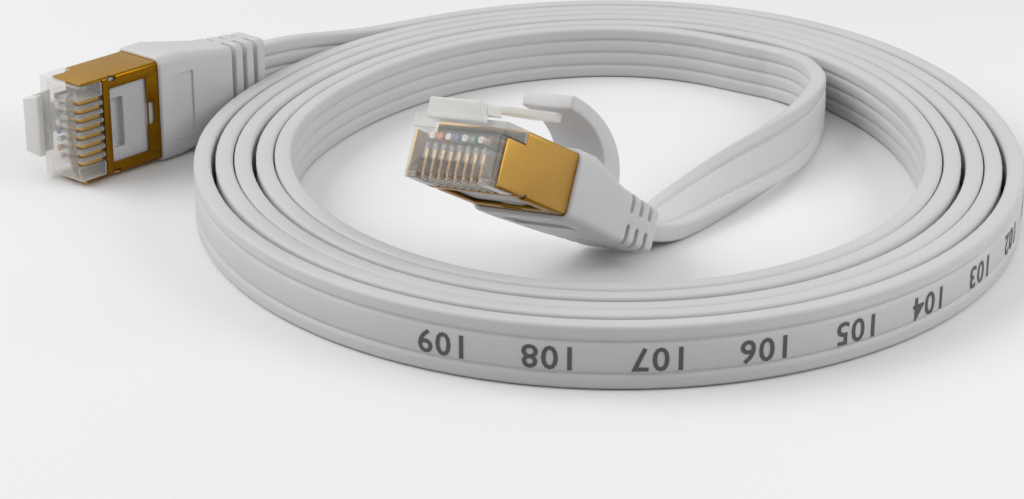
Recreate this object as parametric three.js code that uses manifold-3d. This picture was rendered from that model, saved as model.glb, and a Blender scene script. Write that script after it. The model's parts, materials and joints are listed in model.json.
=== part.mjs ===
// A flat ethernet patch cable: two identical shielded modular plugs on a flat
// eight-wire cable, wound on edge into an oval ring. Millimetres, +Z up, floor at z = 0.
// Each plug is built in its own frame: +x is the mating direction with x = 0 at the
// shield's front edge, y runs across the pins and +z points to the latch side.
import * as THREE from "three";
import { mergeVertices } from "three/addons/utils/BufferGeometryUtils.js";
import Module from "manifold-3d";

const wasm = await Module();
wasm.setup();

// ---------- driving dimensions ----------
const DEG = Math.PI / 180;

const CABLE_WIDTH = 6.4;
const CABLE_THICKNESS = 1.6;
const CABLE_EDGE = 0.5; // chamfer on the jacket's four long edges

// The ring, centred on x = y = 0: an oval whose outermost line is followed by the first turn.
const COIL_HALF_WIDTH = 46.2;
const COIL_HALF_DEPTH = 53.3;
const COIL_LEAN = 3.2; // how far the back of the oval is pushed towards +x
const COIL_DENT = 0.9; // how far plug A's boot presses the oval in
const COIL_DENT_DEG = 152;
const COIL_DENT_SPREAD = 25; // degrees to each side
const COIL_PITCH = 2.17; // from one turn to the next
const COIL_START_DEG = 120; // where plug A's lead joins the ring
const COIL_END_DEG = 66; // where the tail to plug B begins
const COIL_PEEL = 0.9; // how far the last turn has left its neighbour by then
const COIL_PEEL_DEG = 30; // over this much of the last turn
const COIL_WHOLE_TURNS = 5;
const STEPS_PER_TURN = 36;
const END_STRAIGHT = CABLE_WIDTH; // straight run at both ends of the ring
const LEAST_ALLOWED_GAP = 0.4;

// Shield: a folded sheet-metal sleeve.
const SHIELD_WIDTH = 11.68;
const SHIELD_HEIGHT = 6.4;
const SHIELD_WALL = 0.25;
const SHIELD_SHOWN = 11.0; // length ahead of the boot
const SHIELD_IN_BOOT = 2.4;
const STEP_LENGTH = 2.85; // the low front of the side walls
const STEP_HEIGHT = 4.9;
const COMB_LENGTH = 3.0; // open contact side behind the front edge
const CROSS_STRIP = 0.9; // narrow strip behind the contacts
const WINDOW_LENGTH = 5.4;
const WINDOW_SIDE = 1.5; // frame left beside the window
const SEAM_LENGTH = 1.3; // small stamped tab slot in the rear strip
const SEAM_WIDTH = 2.6;
const NOTCH_RADIUS = 0.5; // relief notch in each long edge, behind the cross strip
const NOTCH_REACH = 0.7; // how far it runs onto the contact side

// Housing: clear moulding inside the shield.
const FIT = 0.15; // clearance between pieces that slide into each other
const NOSE_AHEAD = 0.7; // nose beyond the shield's front edge
const NOSE_TOP = 6.35;
const NOSE_BOTTOM = 0;
const HOUSING_REAR_WALL = 0.6; // shield left free behind the housing
const PINS = 8;
const PIN_PITCH = 1.02;
const SLOT_WIDTH = 0.62;
const SLOT_TOP = 3.7;
const SLOT_FRONT_TOP = 2; // the slots' openings in the nose's front wall are lower
const FRONT_WALL = 0.3;
const CRIMP_FROM_STRIP = 0.5; // crimp slot, behind the cross strip
const CRIMP_LENGTH = 1.6;
const CRIMP_WIDTH = 5.9;
const CRIMP_DEPTH = 0.8;

// Wires, load bar and contacts.
const WIRE_DIAMETER = 0.7;
const WIRE_HEIGHT = 4.45;
const WIRE_FRONT = 0.1;
const CHANNEL_FRONT = 0.25; // free space ahead of the wire ends
const CHANNEL_SIDE = 0.5; // free space beside the outer wires' centres, past their pitch
const CHANNEL_HEIGHT = 1.1;
const BAR_LENGTH = 3.0;
const BAR_HEIGHT = 1.8;
const BAR_BORE = 0.86;
const BAR_FROM_COMB = 0.5;
const BLADE_THICKNESS = 0.32;
const BLADE_BOTTOM = 0.4;
const BLADE_FRONT = 0.25;
const BLADE_BACK = -2.8;
const WIRE_TO_BLADE = 0.6;

// Latch lever.
const HINGE_X = 0.6;
const LATCH_GAP = 0.3;
const LATCH_FRONT = 1.7;
const LATCH_LEAN = 0.5; // how far the front's top leans ahead
const LATCH_LIP_BOTTOM = 5.85; // the root's lip hangs down in front of the nose
const LATCH_LIP_GAP = 0.25;
const LATCH_ROOT_WIDTH = 7.2; // at its underside
const LATCH_ROOT_TOP_WIDTH = 6.3;
const LATCH_ROOT_LENGTH = 2.9;
const LATCH_ROOT_HEIGHT = 1.15;
const LATCH_ROOT_LIFT = 0.3; // underside's rise at the back of the root
const LATCH_TAIL_WIDTH = 3.6;
const LATCH_KNEE_X = -3.9; // where the tail's steep first stretch ends
const LATCH_KNEE_BOTTOM = 8.2;
const LATCH_KNEE_THICKNESS = 0.8;
const LATCH_TAIL_END = -12.1;
const LATCH_TAIL_THICKNESS = 1.0;
const LATCH_TAIL_BOTTOM = 9.4;

// Boot, with three strain-relief grooves, and its snag hood.
const BOOT_WALL_SIDE = 0.42;
const BOOT_WALL_FACE = 0.45;
const BOOT_LENGTH = 16.8;
const BOOT_POCKET_END = 0.5; // free space behind the shield in the pocket
const BOOT_SHOULDER = 9.6; // from the front to where the grooves begin
const BOOT_SHOULDER_WIDTH = 10.2;
const BOOT_SHOULDER_TOP = 5.4;
const BOOT_SHOULDER_BOTTOM = -0.35;
const BOOT_REAR_WIDTH = 9.1;
const BOOT_REAR_TOP = 4.75;
const BOOT_REAR_BOTTOM = 0;
const BOOT_ROUND = 1.2;
const CABLE_HEIGHT = 2.4; // the cable's middle above the contact side
const GROOVES = 3;
const GROOVE_PITCH = 1.8;
const GROOVE_WIDTH = 0.6;
const GROOVE_DEPTH = 0.75;
const GROOVE_FIRST = 11.6; // from the boot's front to the first groove's middle
const GROOVE_WEB = 1.2; // web left in the middle of each side
const RECESS_FROM_FRONT = 2.2;
const RECESS_LENGTH = 2.8;
const RECESS_WIDTH = 7.6;
const RECESS_DEPTH = 0.3;
const HOOD_WIDTH = 6.4;
const HOOD_GAP = 0.3;
const HOOD_THICKNESS = 1.5;
const HOOD_LIP_X = -11.4;
const HOOD_ROOT_X = -18.8; // the hood's flexing line
const HOOD_ROOT_LENGTH = 3.2;
const HOOD_CURVE_BACK = 3.9; // how far each curve runs on before it bends over
const HOOD_CURVE_TOP = 4.6;
const HOOD_CURVE_INNER = 3.2;

// Crimp collar round the jacket inside the boot.
const COLLAR_LENGTH = 3.0;
const COLLAR_WALL = 0.65;
const COLLAR_FROM_SHIELD = 0.8;

const TOUCH = 0.3; // gap between cable nodes that meet face to face
const TAIL_CLEAR = 0.2; // free stretch above the floor
const FINE = 0.01;

// Where the plugs lie. Plug A is on its side; plug B leans nose up.
const PLUG_A = { x: -57.05, y: 0.85, yaw: 229.4 };
const PLUG_B = { x: -15.7, y: -37.1, lift: 0.25, yaw: 226.6, pitch: 30, roll: 9 };

// ---------- colours ----------
const look = (color, roughness, metalness = 0, opacity = 1) =>
  new THREE.MeshStandardMaterial({
    color,
    roughness,
    metalness,
    opacity,
    transparent: opacity < 1,
  });
const jacketLook = look(0xd0d1d2, 0.55);
const bootLook = look(0xd6d7d9, 0.5);
const goldLook = look(0xc79a4b, 0.3, 1);
const clearLook = look(0xe8ecec, 0.12, 0, 0.35);
const steelLook = look(0xb9b7b0, 0.35, 1);
const barLook = look(0xe3e4e0, 0.4);
// Wire colours in the usual order from pin 1 to pin 8.
const WIRE_COLOURS = [
  ["white_orange", 0xf0d9c2],
  ["orange", 0xdd7a2c],
  ["white_green", 0xcfe3d0],
  ["blue", 0x2f5fae],
  ["white_blue", 0xcdd8ea],
  ["green", 0x2f8a4c],
  ["white_brown", 0xdccdc0],
  ["brown", 0x6b4630],
];

// ---------- geometry helpers ----------
function toSolid(geometry) {
  const bare = geometry.index ? geometry.toNonIndexed() : geometry.clone();
  bare.deleteAttribute("normal");
  bare.deleteAttribute("uv");
  const merged = mergeVertices(bare, 1e-4);
  return new wasm.Manifold(
    new wasm.Mesh({
      numProp: 3,
      vertProperties: merged.attributes.position.array,
      triVerts: new Uint32Array(merged.index.array),
    }),
  );
}

function toGeometry(solid) {
  const mesh = solid.getMesh();
  const geometry = new THREE.BufferGeometry();
  const count = mesh.vertProperties.length / mesh.numProp;
  const places = new Float32Array(count * 3);
  for (let i = 0; i < count; i++)
    places.set(mesh.vertProperties.subarray(i * mesh.numProp, i * mesh.numProp + 3), i * 3);
  geometry.setAttribute("position", new THREE.BufferAttribute(places, 3));
  geometry.setIndex(new THREE.BufferAttribute(mesh.triVerts, 1));
  geometry.computeVertexNormals();
  return geometry;
}

function cut(geometry, ...tools) {
  let solid = toSolid(geometry);
  for (const tool of tools) solid = solid.subtract(toSolid(tool));
  return toGeometry(solid);
}

function join(geometry, ...more) {
  let solid = toSolid(geometry);
  for (const other of more) solid = solid.add(toSolid(other));
  return toGeometry(solid);
}

// A box from its two corners.
function block(x0, x1, y0, y1, z0, z1) {
  return new THREE.BoxGeometry(x1 - x0, y1 - y0, z1 - z0).translate(
    (x0 + x1) / 2,
    (y0 + y1) / 2,
    (z0 + z1) / 2,
  );
}

// A side profile of [x, z] points, as thick as width, centred on y = 0.
function plate(profile, width) {
  const shape = new THREE.Shape(profile.map(([x, z]) => new THREE.Vector2(x, z)));
  const geometry = new THREE.ExtrudeGeometry(shape, { depth: width, bevelEnabled: false });
  return geometry.rotateX(Math.PI / 2).translate(0, width / 2, 0);
}

// A closed skin over rings of equally many points, with flat ends.
function skin(rings) {
  const sides = rings[0].length;
  const places = rings.flat().flatMap((p) => [p.x, p.y, p.z]);
  const faces = [];
  for (let r = 0; r + 1 < rings.length; r++)
    for (let s = 0; s < sides; s++) {
      const a = r * sides + s;
      const b = r * sides + ((s + 1) % sides);
      faces.push(a, b, b + sides, a, b + sides, a + sides);
    }
  const last = (rings.length - 1) * sides;
  for (let s = 1; s + 1 < sides; s++) {
    faces.push(0, s + 1, s);
    faces.push(last, last + s, last + s + 1);
  }
  const geometry = new THREE.BufferGeometry();
  geometry.setAttribute("position", new THREE.Float32BufferAttribute(places, 3));
  geometry.setIndex(faces);
  geometry.computeVertexNormals();
  return geometry;
}

// ---------- the flat cable ----------
// The jacket's section as [across, through] points: a flat bar with chamfered edges.
function cableSection() {
  const w = CABLE_WIDTH / 2;
  const t = CABLE_THICKNESS / 2;
  const k = CABLE_EDGE;
  return [
    [w, t - k], [w - k, t], [k - w, t], [-w, t - k],
    [-w, k - t], [k - w, -t], [w - k, -t], [w, k - t],
  ];
}

// One ring of the jacket at a place, square to its heading; wide is its width's direction.
function cableRing(place, heading, wide) {
  const along = heading.clone().normalize();
  const across = wide.clone().addScaledVector(along, -wide.dot(along)).normalize();
  const through = new THREE.Vector3().crossVectors(along, across);
  return cableSection().map(([a, b]) =>
    place.clone().addScaledVector(across, a).addScaledVector(through, b),
  );
}

// The oval's outermost line at an angle.
function ovalAt(angle) {
  const lean = Math.max(0, Math.sin(angle));
  const off = (angle / DEG - COIL_DENT_DEG) / COIL_DENT_SPREAD;
  const turn = 360 / COIL_DENT_SPREAD;
  const near = off - turn * Math.round(off / turn);
  const dent = COIL_DENT * Math.exp(-near * near);
  return new THREE.Vector3(
    (COIL_HALF_WIDTH - dent) * Math.cos(angle) + COIL_LEAN * lean * lean,
    (COIL_HALF_DEPTH - dent) * Math.sin(angle),
    0,
  );
}

const COIL_TURNS = COIL_WHOLE_TURNS + (COIL_START_DEG - COIL_END_DEG) / 360;

// The coil's middle line after a number of turns: drawn in by one pitch a turn, and
// peeling away from its neighbour at the end.
function coilPlace(turns) {
  const angle = COIL_START_DEG * DEG - turns * 2 * Math.PI;
  const place = ovalAt(angle);
  const heading = ovalAt(angle - FINE).sub(ovalAt(angle + FINE)).normalize();
  const inward = new THREE.Vector3(heading.y, -heading.x, 0);
  const peeled = Math.max(0, 1 - ((COIL_TURNS - turns) * 360) / COIL_PEEL_DEG);
  const drawnIn = COIL_PITCH * turns + COIL_PEEL * peeled * peeled;
  place.addScaledVector(inward, CABLE_THICKNESS / 2 + drawnIn);
  return place.setZ(CABLE_WIDTH / 2);
}

function coilAt(turns) {
  const before = coilPlace(turns - FINE / 10);
  const heading = coilPlace(turns + FINE / 10).sub(before).normalize();
  return { place: coilPlace(turns), heading };
}

const coilStart = coilAt(0);
const coilEnd = coilAt(COIL_TURNS);
const joinA = coilStart.place.clone().addScaledVector(coilStart.heading, -END_STRAIGHT);
const joinB = coilEnd.place.clone().addScaledVector(coilEnd.heading, END_STRAIGHT);

function makeCoil() {
  const up = new THREE.Vector3(0, 0, 1);
  const steps = Math.round(COIL_TURNS * STEPS_PER_TURN);
  const rings = [cableRing(joinA, coilStart.heading, up)];
  for (let i = 0; i <= steps; i++) {
    const { place, heading } = coilAt((i / steps) * COIL_TURNS);
    rings.push(cableRing(place, heading, up));
  }
  rings.push(cableRing(joinB, coilEnd.heading, up));
  let least = Infinity;
  for (let i = 0; i < rings.length; i++)
    for (let j = i + Math.round(STEPS_PER_TURN / 2); j < rings.length; j++)
      for (const p of rings[i]) for (const q of rings[j]) least = Math.min(least, p.distanceTo(q));
  console.log("least gap between the coil's turns: " + least.toFixed(3) + " mm");
  if (least <= LEAST_ALLOWED_GAP) console.log("the coil's turns are too close");
  return skin(rings);
}

// ---------- plug places ----------
const plugA = new THREE.Group();
plugA.position.set(PLUG_A.x, PLUG_A.y, SHIELD_WIDTH / 2 + BOOT_WALL_SIDE);
plugA.rotation.set(Math.PI / 2, 0, PLUG_A.yaw * DEG, "ZYX");

const BOOT_FRONT = -SHIELD_SHOWN;
const BOOT_REAR = BOOT_FRONT - BOOT_LENGTH;

const plugB = new THREE.Group();
plugB.rotation.set(PLUG_B.roll * DEG, -PLUG_B.pitch * DEG, PLUG_B.yaw * DEG, "ZYX");
const restingCorner = new THREE.Vector3(BOOT_REAR, -BOOT_REAR_WIDTH / 2, BOOT_REAR_BOTTOM);
restingCorner.applyEuler(plugB.rotation);
plugB.position.set(PLUG_B.x, PLUG_B.y, PLUG_B.lift - restingCorner.z);

// Where the cable leaves a plug's boot, with the boot's direction there.
function exitOf(plug) {
  plug.updateMatrix();
  const place = new THREE.Vector3(BOOT_REAR - TOUCH, 0, CABLE_HEIGHT).applyMatrix4(plug.matrix);
  const heading = new THREE.Vector3(-1, 0, 0).transformDirection(plug.matrix);
  const wide = new THREE.Vector3(0, 1, 0).transformDirection(plug.matrix);
  return { place, heading, wide };
}

// A free stretch along a line; tilts are its width's angles above the floor, evenly spread.
function makeLead(line, tilts, steps, first, last) {
  const rings = [];
  for (let i = 0; i <= steps; i++) {
    const u = line.getUtoTmapping(i / steps);
    const spot = u * (tilts.length - 1);
    const k = Math.min(Math.floor(spot), tilts.length - 2);
    const tilt = THREE.MathUtils.lerp(tilts[k], tilts[k + 1], spot - k) * DEG;
    let heading = line.getTangent(u);
    let wide = new THREE.Vector3(heading.y, -heading.x, 0).normalize();
    wide.multiplyScalar(Math.cos(tilt)).add(new THREE.Vector3(0, 0, Math.sin(tilt)));
    if (i === 0) ({ heading, wide } = first);
    if (i === steps) ({ heading, wide } = last);
    rings.push(cableRing(line.getPoint(u), heading, wide));
  }
  return skin(rings);
}

const UP = new THREE.Vector3(0, 0, 1);

// Plug A's lead: on edge from the boot, sinking to the floor as it joins the ring.
function makeLeadA() {
  const exit = exitOf(plugA);
  const end = joinA.clone().addScaledVector(coilStart.heading, -TOUCH);
  const reach = exit.place.distanceTo(end) / 3;
  const line = new THREE.CubicBezierCurve3(
    exit.place,
    exit.place.clone().addScaledVector(exit.heading, reach),
    end.clone().addScaledVector(coilStart.heading, -reach),
    end,
  );
  const last = { heading: coilStart.heading, wide: UP };
  return makeLead(line, [90, 90], 14, { heading: exit.heading, wide: UP }, last);
}

// Plug B's tail: on edge round the bend, then laid over flat on the way to the boot.
// Each row is x, y, and the width's angle above the floor in degrees.
const TAIL_POINTS = [
  [25.0, 28.5, 90],
  [26.4, 22.2, 90],
  [25.2, 15.8, 86],
  [23.0, 9.6, 76],
  [19.9, 3.9, 60],
  [15.9, -1.3, 42],
  [11.7, -6.3, 24],
  [7.7, -11.1, 9],
  [5.2, -14.0, -3],
];

function makeTail() {
  const exit = exitOf(plugB);
  const start = joinB.clone().addScaledVector(coilEnd.heading, TOUCH);
  const straight = exit.place.clone().addScaledVector(exit.heading, CABLE_THICKNESS / 2);
  const points = [start, start.clone().addScaledVector(coilEnd.heading, CABLE_THICKNESS)];
  const tilts = [90, 90];
  for (const [x, y, tilt] of TAIL_POINTS) {
    const upright = Math.abs(Math.sin(tilt * DEG));
    const reach = CABLE_WIDTH * upright + CABLE_THICKNESS * Math.cos(tilt * DEG);
    points.push(new THREE.Vector3(x, y, reach / 2 + TAIL_CLEAR));
    tilts.push(tilt);
  }
  points.push(straight, exit.place);
  tilts.push(-PLUG_B.roll, -PLUG_B.roll);
  const line = new THREE.CatmullRomCurve3(points, false, "centripetal");
  const backwards = exit.heading.clone().negate();
  return makeLead(line, tilts, 44, { heading: coilEnd.heading, wide: UP }, {
    heading: backwards,
    wide: exit.wide.clone().negate(),
  });
}

// ---------- the plug's pieces ----------
const pinY = (pin) => (pin - (PINS - 1) / 2) * PIN_PITCH;
const halfShield = SHIELD_WIDTH / 2;
const halfBody = halfShield - SHIELD_WALL - FIT;
const bodyBottom = SHIELD_WALL + FIT;
const bodyTop = SHIELD_HEIGHT - SHIELD_WALL - FIT;
const shieldRear = -(SHIELD_SHOWN + SHIELD_IN_BOOT);
const housingRear = shieldRear + HOUSING_REAR_WALL;
const channelHalf = (PINS / 2) * PIN_PITCH + CHANNEL_SIDE / 2;
const barFront = -(COMB_LENGTH + BAR_FROM_COMB);
const windowFront = -(COMB_LENGTH + CROSS_STRIP);
const windowRear = windowFront - WINDOW_LENGTH;
const windowHalf = halfShield - WINDOW_SIDE;

function makeShield() {
  const inner = halfShield - SHIELD_WALL;
  const open = FIT;
  const notches = [-1, 1].map((side) =>
    new THREE.CylinderGeometry(NOTCH_RADIUS, NOTCH_RADIUS, 2 * NOTCH_REACH, 12)
      .translate(windowFront - NOTCH_RADIUS, side * halfShield, 0),
  );
  return cut(
    block(shieldRear, 0, -halfShield, halfShield, 0, SHIELD_HEIGHT),
    block(shieldRear - 1, 1, -inner, inner, SHIELD_WALL, SHIELD_HEIGHT - SHIELD_WALL),
    block(-STEP_LENGTH, 1, -halfShield - 1, halfShield + 1, STEP_HEIGHT, SHIELD_HEIGHT + 1),
    block(-COMB_LENGTH, 1, -inner, inner, -1, SHIELD_WALL + open),
    block(windowRear, windowFront, -windowHalf, windowHalf, -1, SHIELD_WALL + open),
    block(
      shieldRear + SHIELD_IN_BOOT + SEAM_LENGTH / 2,
      shieldRear + SHIELD_IN_BOOT + SEAM_LENGTH * 1.2,
      -SEAM_WIDTH / 2, SEAM_WIDTH / 2, -1, SHIELD_WALL + open,
    ),
    ...notches,
  );
}

function makeHousing() {
  const noseHalf = halfShield;
  const stepFloor = STEP_HEIGHT + FIT;
  const stepBack = -STEP_LENGTH + FIT;
  const comb = -COMB_LENGTH + FIT;
  const body = join(
    block(housingRear, NOSE_AHEAD, -halfBody, halfBody, bodyBottom, bodyTop),
    block(comb, NOSE_AHEAD, -halfBody, halfBody, NOSE_BOTTOM, bodyBottom + FINE),
    block(stepBack, NOSE_AHEAD, -noseHalf, noseHalf, stepFloor, NOSE_TOP),
  );
  const cuts = [];
  for (let pin = 0; pin < PINS; pin++) {
    const y = pinY(pin);
    const [left, right] = [y - SLOT_WIDTH / 2, y + SLOT_WIDTH / 2];
    cuts.push(
      block(comb - 2 * FIT, NOSE_AHEAD - FRONT_WALL, left, right, -1, SLOT_TOP),
      block(comb - 2 * FIT, NOSE_AHEAD + 1, left, right, -1, SLOT_FRONT_TOP),
    );
  }
  // The channel that the wires lie in, and the taller bay behind it for the load bar.
  const channelFloor = WIRE_HEIGHT - CHANNEL_HEIGHT / 2;
  const bayFloor = WIRE_HEIGHT - BAR_HEIGHT / 2 - FIT;
  const bayRoof = WIRE_HEIGHT + BAR_HEIGHT / 2 + FIT;
  cuts.push(
    block(
      housingRear - 1, WIRE_FRONT + CHANNEL_FRONT, -channelHalf, channelHalf,
      channelFloor, channelFloor + CHANNEL_HEIGHT,
    ),
    block(housingRear - 1, barFront + FIT, -channelHalf, channelHalf, bayFloor, bayRoof),
  );
  // The crimp slot that shows in the shield's window.
  const crimpFront = windowFront - CRIMP_FROM_STRIP;
  cuts.push(
    block(
      crimpFront - CRIMP_LENGTH, crimpFront, -CRIMP_WIDTH / 2, CRIMP_WIDTH / 2,
      -1, bodyBottom + CRIMP_DEPTH,
    ),
  );
  return cut(body, ...cuts);
}

function makeLoadBar() {
  const half = channelHalf - FIT;
  const top = WIRE_HEIGHT + BAR_HEIGHT / 2;
  const bar = block(barFront - BAR_LENGTH, barFront, -half, half, top - BAR_HEIGHT, top);
  const bores = [];
  for (let pin = 0; pin < PINS; pin++)
    bores.push(
      new THREE.CylinderGeometry(BAR_BORE / 2, BAR_BORE / 2, BAR_LENGTH + 2, 10)
        .rotateZ(Math.PI / 2)
        .translate(barFront - BAR_LENGTH / 2, pinY(pin), WIRE_HEIGHT),
    );
  return cut(bar, ...bores);
}

function makeWire(pin) {
  const back = housingRear - FIT;
  return new THREE.CylinderGeometry(WIRE_DIAMETER / 2, WIRE_DIAMETER / 2, WIRE_FRONT - back, 8)
    .rotateZ(Math.PI / 2)
    .translate((WIRE_FRONT + back) / 2, pinY(pin), WIRE_HEIGHT);
}

// A contact blade with a rounded front corner and two prongs under its wire.
function makeContact(pin) {
  const tip = WIRE_HEIGHT - WIRE_DIAMETER / 2 - WIRE_TO_BLADE;
  const valley = tip - 0.5;
  const length = BLADE_FRONT - BLADE_BACK;
  const at = (share) => BLADE_FRONT - share * length;
  const profile = [
    [BLADE_FRONT, valley], [BLADE_FRONT, BLADE_BOTTOM + 0.5],
    [BLADE_FRONT - 0.15, BLADE_BOTTOM + 0.15], [BLADE_FRONT - 0.5, BLADE_BOTTOM],
    [BLADE_BACK + 0.2, BLADE_BOTTOM], [BLADE_BACK, BLADE_BOTTOM + 0.2], [BLADE_BACK, valley],
    [at(0.85), tip], [at(0.7), valley], [at(0.55), tip], [at(0.4), valley],
  ];
  return plate(profile, BLADE_THICKNESS).translate(0, pinY(pin), 0);
}

// The lever: a wide root block at the nose and a narrow tail rising to the rear.
function makeLatch() {
  const floor = NOSE_TOP + LATCH_GAP;
  const rootBack = LATCH_FRONT - LATCH_ROOT_LENGTH;
  const roof = floor + LATCH_ROOT_HEIGHT;
  const lift = floor + LATCH_ROOT_LIFT;
  const wide = LATCH_ROOT_WIDTH / 2;
  const narrow = LATCH_ROOT_TOP_WIDTH / 2;
  const end = (x, low, lean = 0) =>
    [[-wide, low], [wide, low], [narrow, roof], [-narrow, roof]].map(
      ([y, z]) => new THREE.Vector3(z < roof ? x : x + lean, y, z),
    );
  const lipBack = NOSE_AHEAD + LATCH_LIP_GAP;
  const root = skin([end(rootBack, lift), end(HINGE_X, floor), end(lipBack + FIT, floor)]);
  const lip = skin([
    end(lipBack, LATCH_LIP_BOTTOM),
    end(LATCH_FRONT, LATCH_LIP_BOTTOM, LATCH_LEAN),
  ]);
  const tailTop = LATCH_TAIL_BOTTOM + LATCH_TAIL_THICKNESS;
  const tail = plate(
    [
      [rootBack + 0.5, lift + 0.15], [LATCH_KNEE_X, LATCH_KNEE_BOTTOM],
      [LATCH_TAIL_END, LATCH_TAIL_BOTTOM], [LATCH_TAIL_END, tailTop],
      [LATCH_KNEE_X, LATCH_KNEE_BOTTOM + LATCH_KNEE_THICKNESS], [rootBack + 0.5, roof - 0.1],
    ],
    LATCH_TAIL_WIDTH,
  );
  return join(root, lip, tail);
}

// A rounded rectangle ring across the plug at x.
function bootRing(x, halfWidth, bottom, top) {
  const r = BOOT_ROUND;
  const corners = [
    [halfWidth - r, top - r, 0], [r - halfWidth, top - r, 90],
    [r - halfWidth, bottom + r, 180], [halfWidth - r, bottom + r, 270],
  ];
  return corners.flatMap(([y, z, from]) =>
    [0, 30, 60, 90].map((turn) => {
      const angle = (from + turn) * DEG;
      return new THREE.Vector3(x, y + r * Math.cos(angle), z + r * Math.sin(angle));
    }),
  );
}

const bootHalfFront = halfShield + BOOT_WALL_SIDE;
const shoulderX = BOOT_FRONT - BOOT_SHOULDER;

// The boot's half width, bottom and top at x behind its shoulder.
function bootTaper(x) {
  const u = (shoulderX - x) / (shoulderX - BOOT_REAR);
  return {
    half: THREE.MathUtils.lerp(BOOT_SHOULDER_WIDTH / 2, BOOT_REAR_WIDTH / 2, u),
    bottom: THREE.MathUtils.lerp(BOOT_SHOULDER_BOTTOM, BOOT_REAR_BOTTOM, u),
    top: THREE.MathUtils.lerp(BOOT_SHOULDER_TOP, BOOT_REAR_TOP, u),
  };
}

function makeBoot() {
  const frontTop = SHIELD_HEIGHT + BOOT_WALL_FACE;
  const frontBottom = -BOOT_WALL_FACE;
  const pocketRear = shieldRear - BOOT_POCKET_END;
  const outer = skin([
    bootRing(BOOT_REAR, BOOT_REAR_WIDTH / 2, BOOT_REAR_BOTTOM, BOOT_REAR_TOP),
    bootRing(shoulderX, BOOT_SHOULDER_WIDTH / 2, BOOT_SHOULDER_BOTTOM, BOOT_SHOULDER_TOP),
    bootRing(pocketRear, bootHalfFront, frontBottom, frontTop),
    bootRing(BOOT_FRONT, bootHalfFront, frontBottom, frontTop),
  ]);
  const pocketHalf = halfShield + FIT;
  const collarHalf = CABLE_WIDTH / 2 + FIT + COLLAR_WALL + FIT;
  const collarRise = CABLE_THICKNESS / 2 + FIT + COLLAR_WALL + FIT;
  const collarRear = shieldRear - COLLAR_FROM_SHIELD - COLLAR_LENGTH - FIT;
  const boreHalf = CABLE_WIDTH / 2 + FIT;
  const boreRise = CABLE_THICKNESS / 2 + FIT;
  const tools = [
    block(pocketRear, BOOT_FRONT + 1, -pocketHalf, pocketHalf, -FIT, SHIELD_HEIGHT + FIT),
    block(
      collarRear, BOOT_FRONT, -collarHalf, collarHalf,
      CABLE_HEIGHT - collarRise, CABLE_HEIGHT + collarRise,
    ),
    block(
      BOOT_REAR - 1, BOOT_FRONT, -boreHalf, boreHalf,
      CABLE_HEIGHT - boreRise, CABLE_HEIGHT + boreRise,
    ),
    block(
      BOOT_FRONT - RECESS_FROM_FRONT - RECESS_LENGTH, BOOT_FRONT - RECESS_FROM_FRONT,
      -RECESS_WIDTH / 2, RECESS_WIDTH / 2, frontBottom - 1, frontBottom + RECESS_DEPTH,
    ),
  ];
  for (let i = 0; i < GROOVES; i++) {
    const x = BOOT_FRONT - GROOVE_FIRST - i * GROOVE_PITCH;
    const { half, bottom, top } = bootTaper(x);
    const x0 = x - GROOVE_WIDTH / 2;
    const x1 = x + GROOVE_WIDTH / 2;
    const middle = (bottom + top) / 2;
    tools.push(
      block(x0, x1, -half - 1, half + 1, bottom - 1, bottom + GROOVE_DEPTH),
      block(x0, x1, -half - 1, half + 1, top - GROOVE_DEPTH, top + 1),
    );
    for (const side of [-1, 1]) {
      const edge = [side * (half - GROOVE_DEPTH), side * (half + 1)].sort((a, b) => a - b);
      tools.push(
        block(x0, x1, edge[0], edge[1], bottom - 1, middle - GROOVE_WEB / 2),
        block(x0, x1, edge[0], edge[1], middle + GROOVE_WEB / 2, top + 1),
      );
    }
  }
  return cut(outer, ...tools);
}

// The height of the boot's back at x, on its slope or behind its shoulder.
function bootBackAt(x) {
  if (x < shoulderX) return bootTaper(x).top;
  const slopeTop = shieldRear - BOOT_POCKET_END;
  const u = Math.min(1, (x - shoulderX) / (slopeTop - shoulderX));
  return THREE.MathUtils.lerp(BOOT_SHOULDER_TOP, SHIELD_HEIGHT + BOOT_WALL_FACE, u);
}

// The hood: an arch from the boot's back over the latch tail. Its outer and inner
// curves both start HOOD_GAP above the boot's back and end at the lip.
function makeHood() {
  const lipBottom = LATCH_TAIL_BOTTOM + LATCH_TAIL_THICKNESS + HOOD_GAP;
  const lipTop = lipBottom + HOOD_THICKNESS;
  const rootBack = HOOD_ROOT_X - HOOD_ROOT_LENGTH;
  const backFloor = bootBackAt(rootBack) + HOOD_GAP;
  const frontFloor = bootBackAt(HOOD_ROOT_X) + HOOD_GAP;
  const outer = new THREE.CubicBezierCurve(
    new THREE.Vector2(rootBack, backFloor),
    new THREE.Vector2(rootBack, backFloor + HOOD_CURVE_BACK),
    new THREE.Vector2(rootBack + HOOD_CURVE_TOP, lipTop),
    new THREE.Vector2(HOOD_LIP_X, lipTop),
  ).getPoints(10);
  const inner = new THREE.CubicBezierCurve(
    new THREE.Vector2(HOOD_LIP_X, lipBottom),
    new THREE.Vector2(HOOD_LIP_X - HOOD_CURVE_INNER, lipBottom),
    new THREE.Vector2(HOOD_ROOT_X, frontFloor + HOOD_CURVE_INNER),
    new THREE.Vector2(HOOD_ROOT_X, frontFloor),
  ).getPoints(8);
  return plate([...outer, ...inner].map((p) => [p.x, p.y]), HOOD_WIDTH);
}

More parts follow.
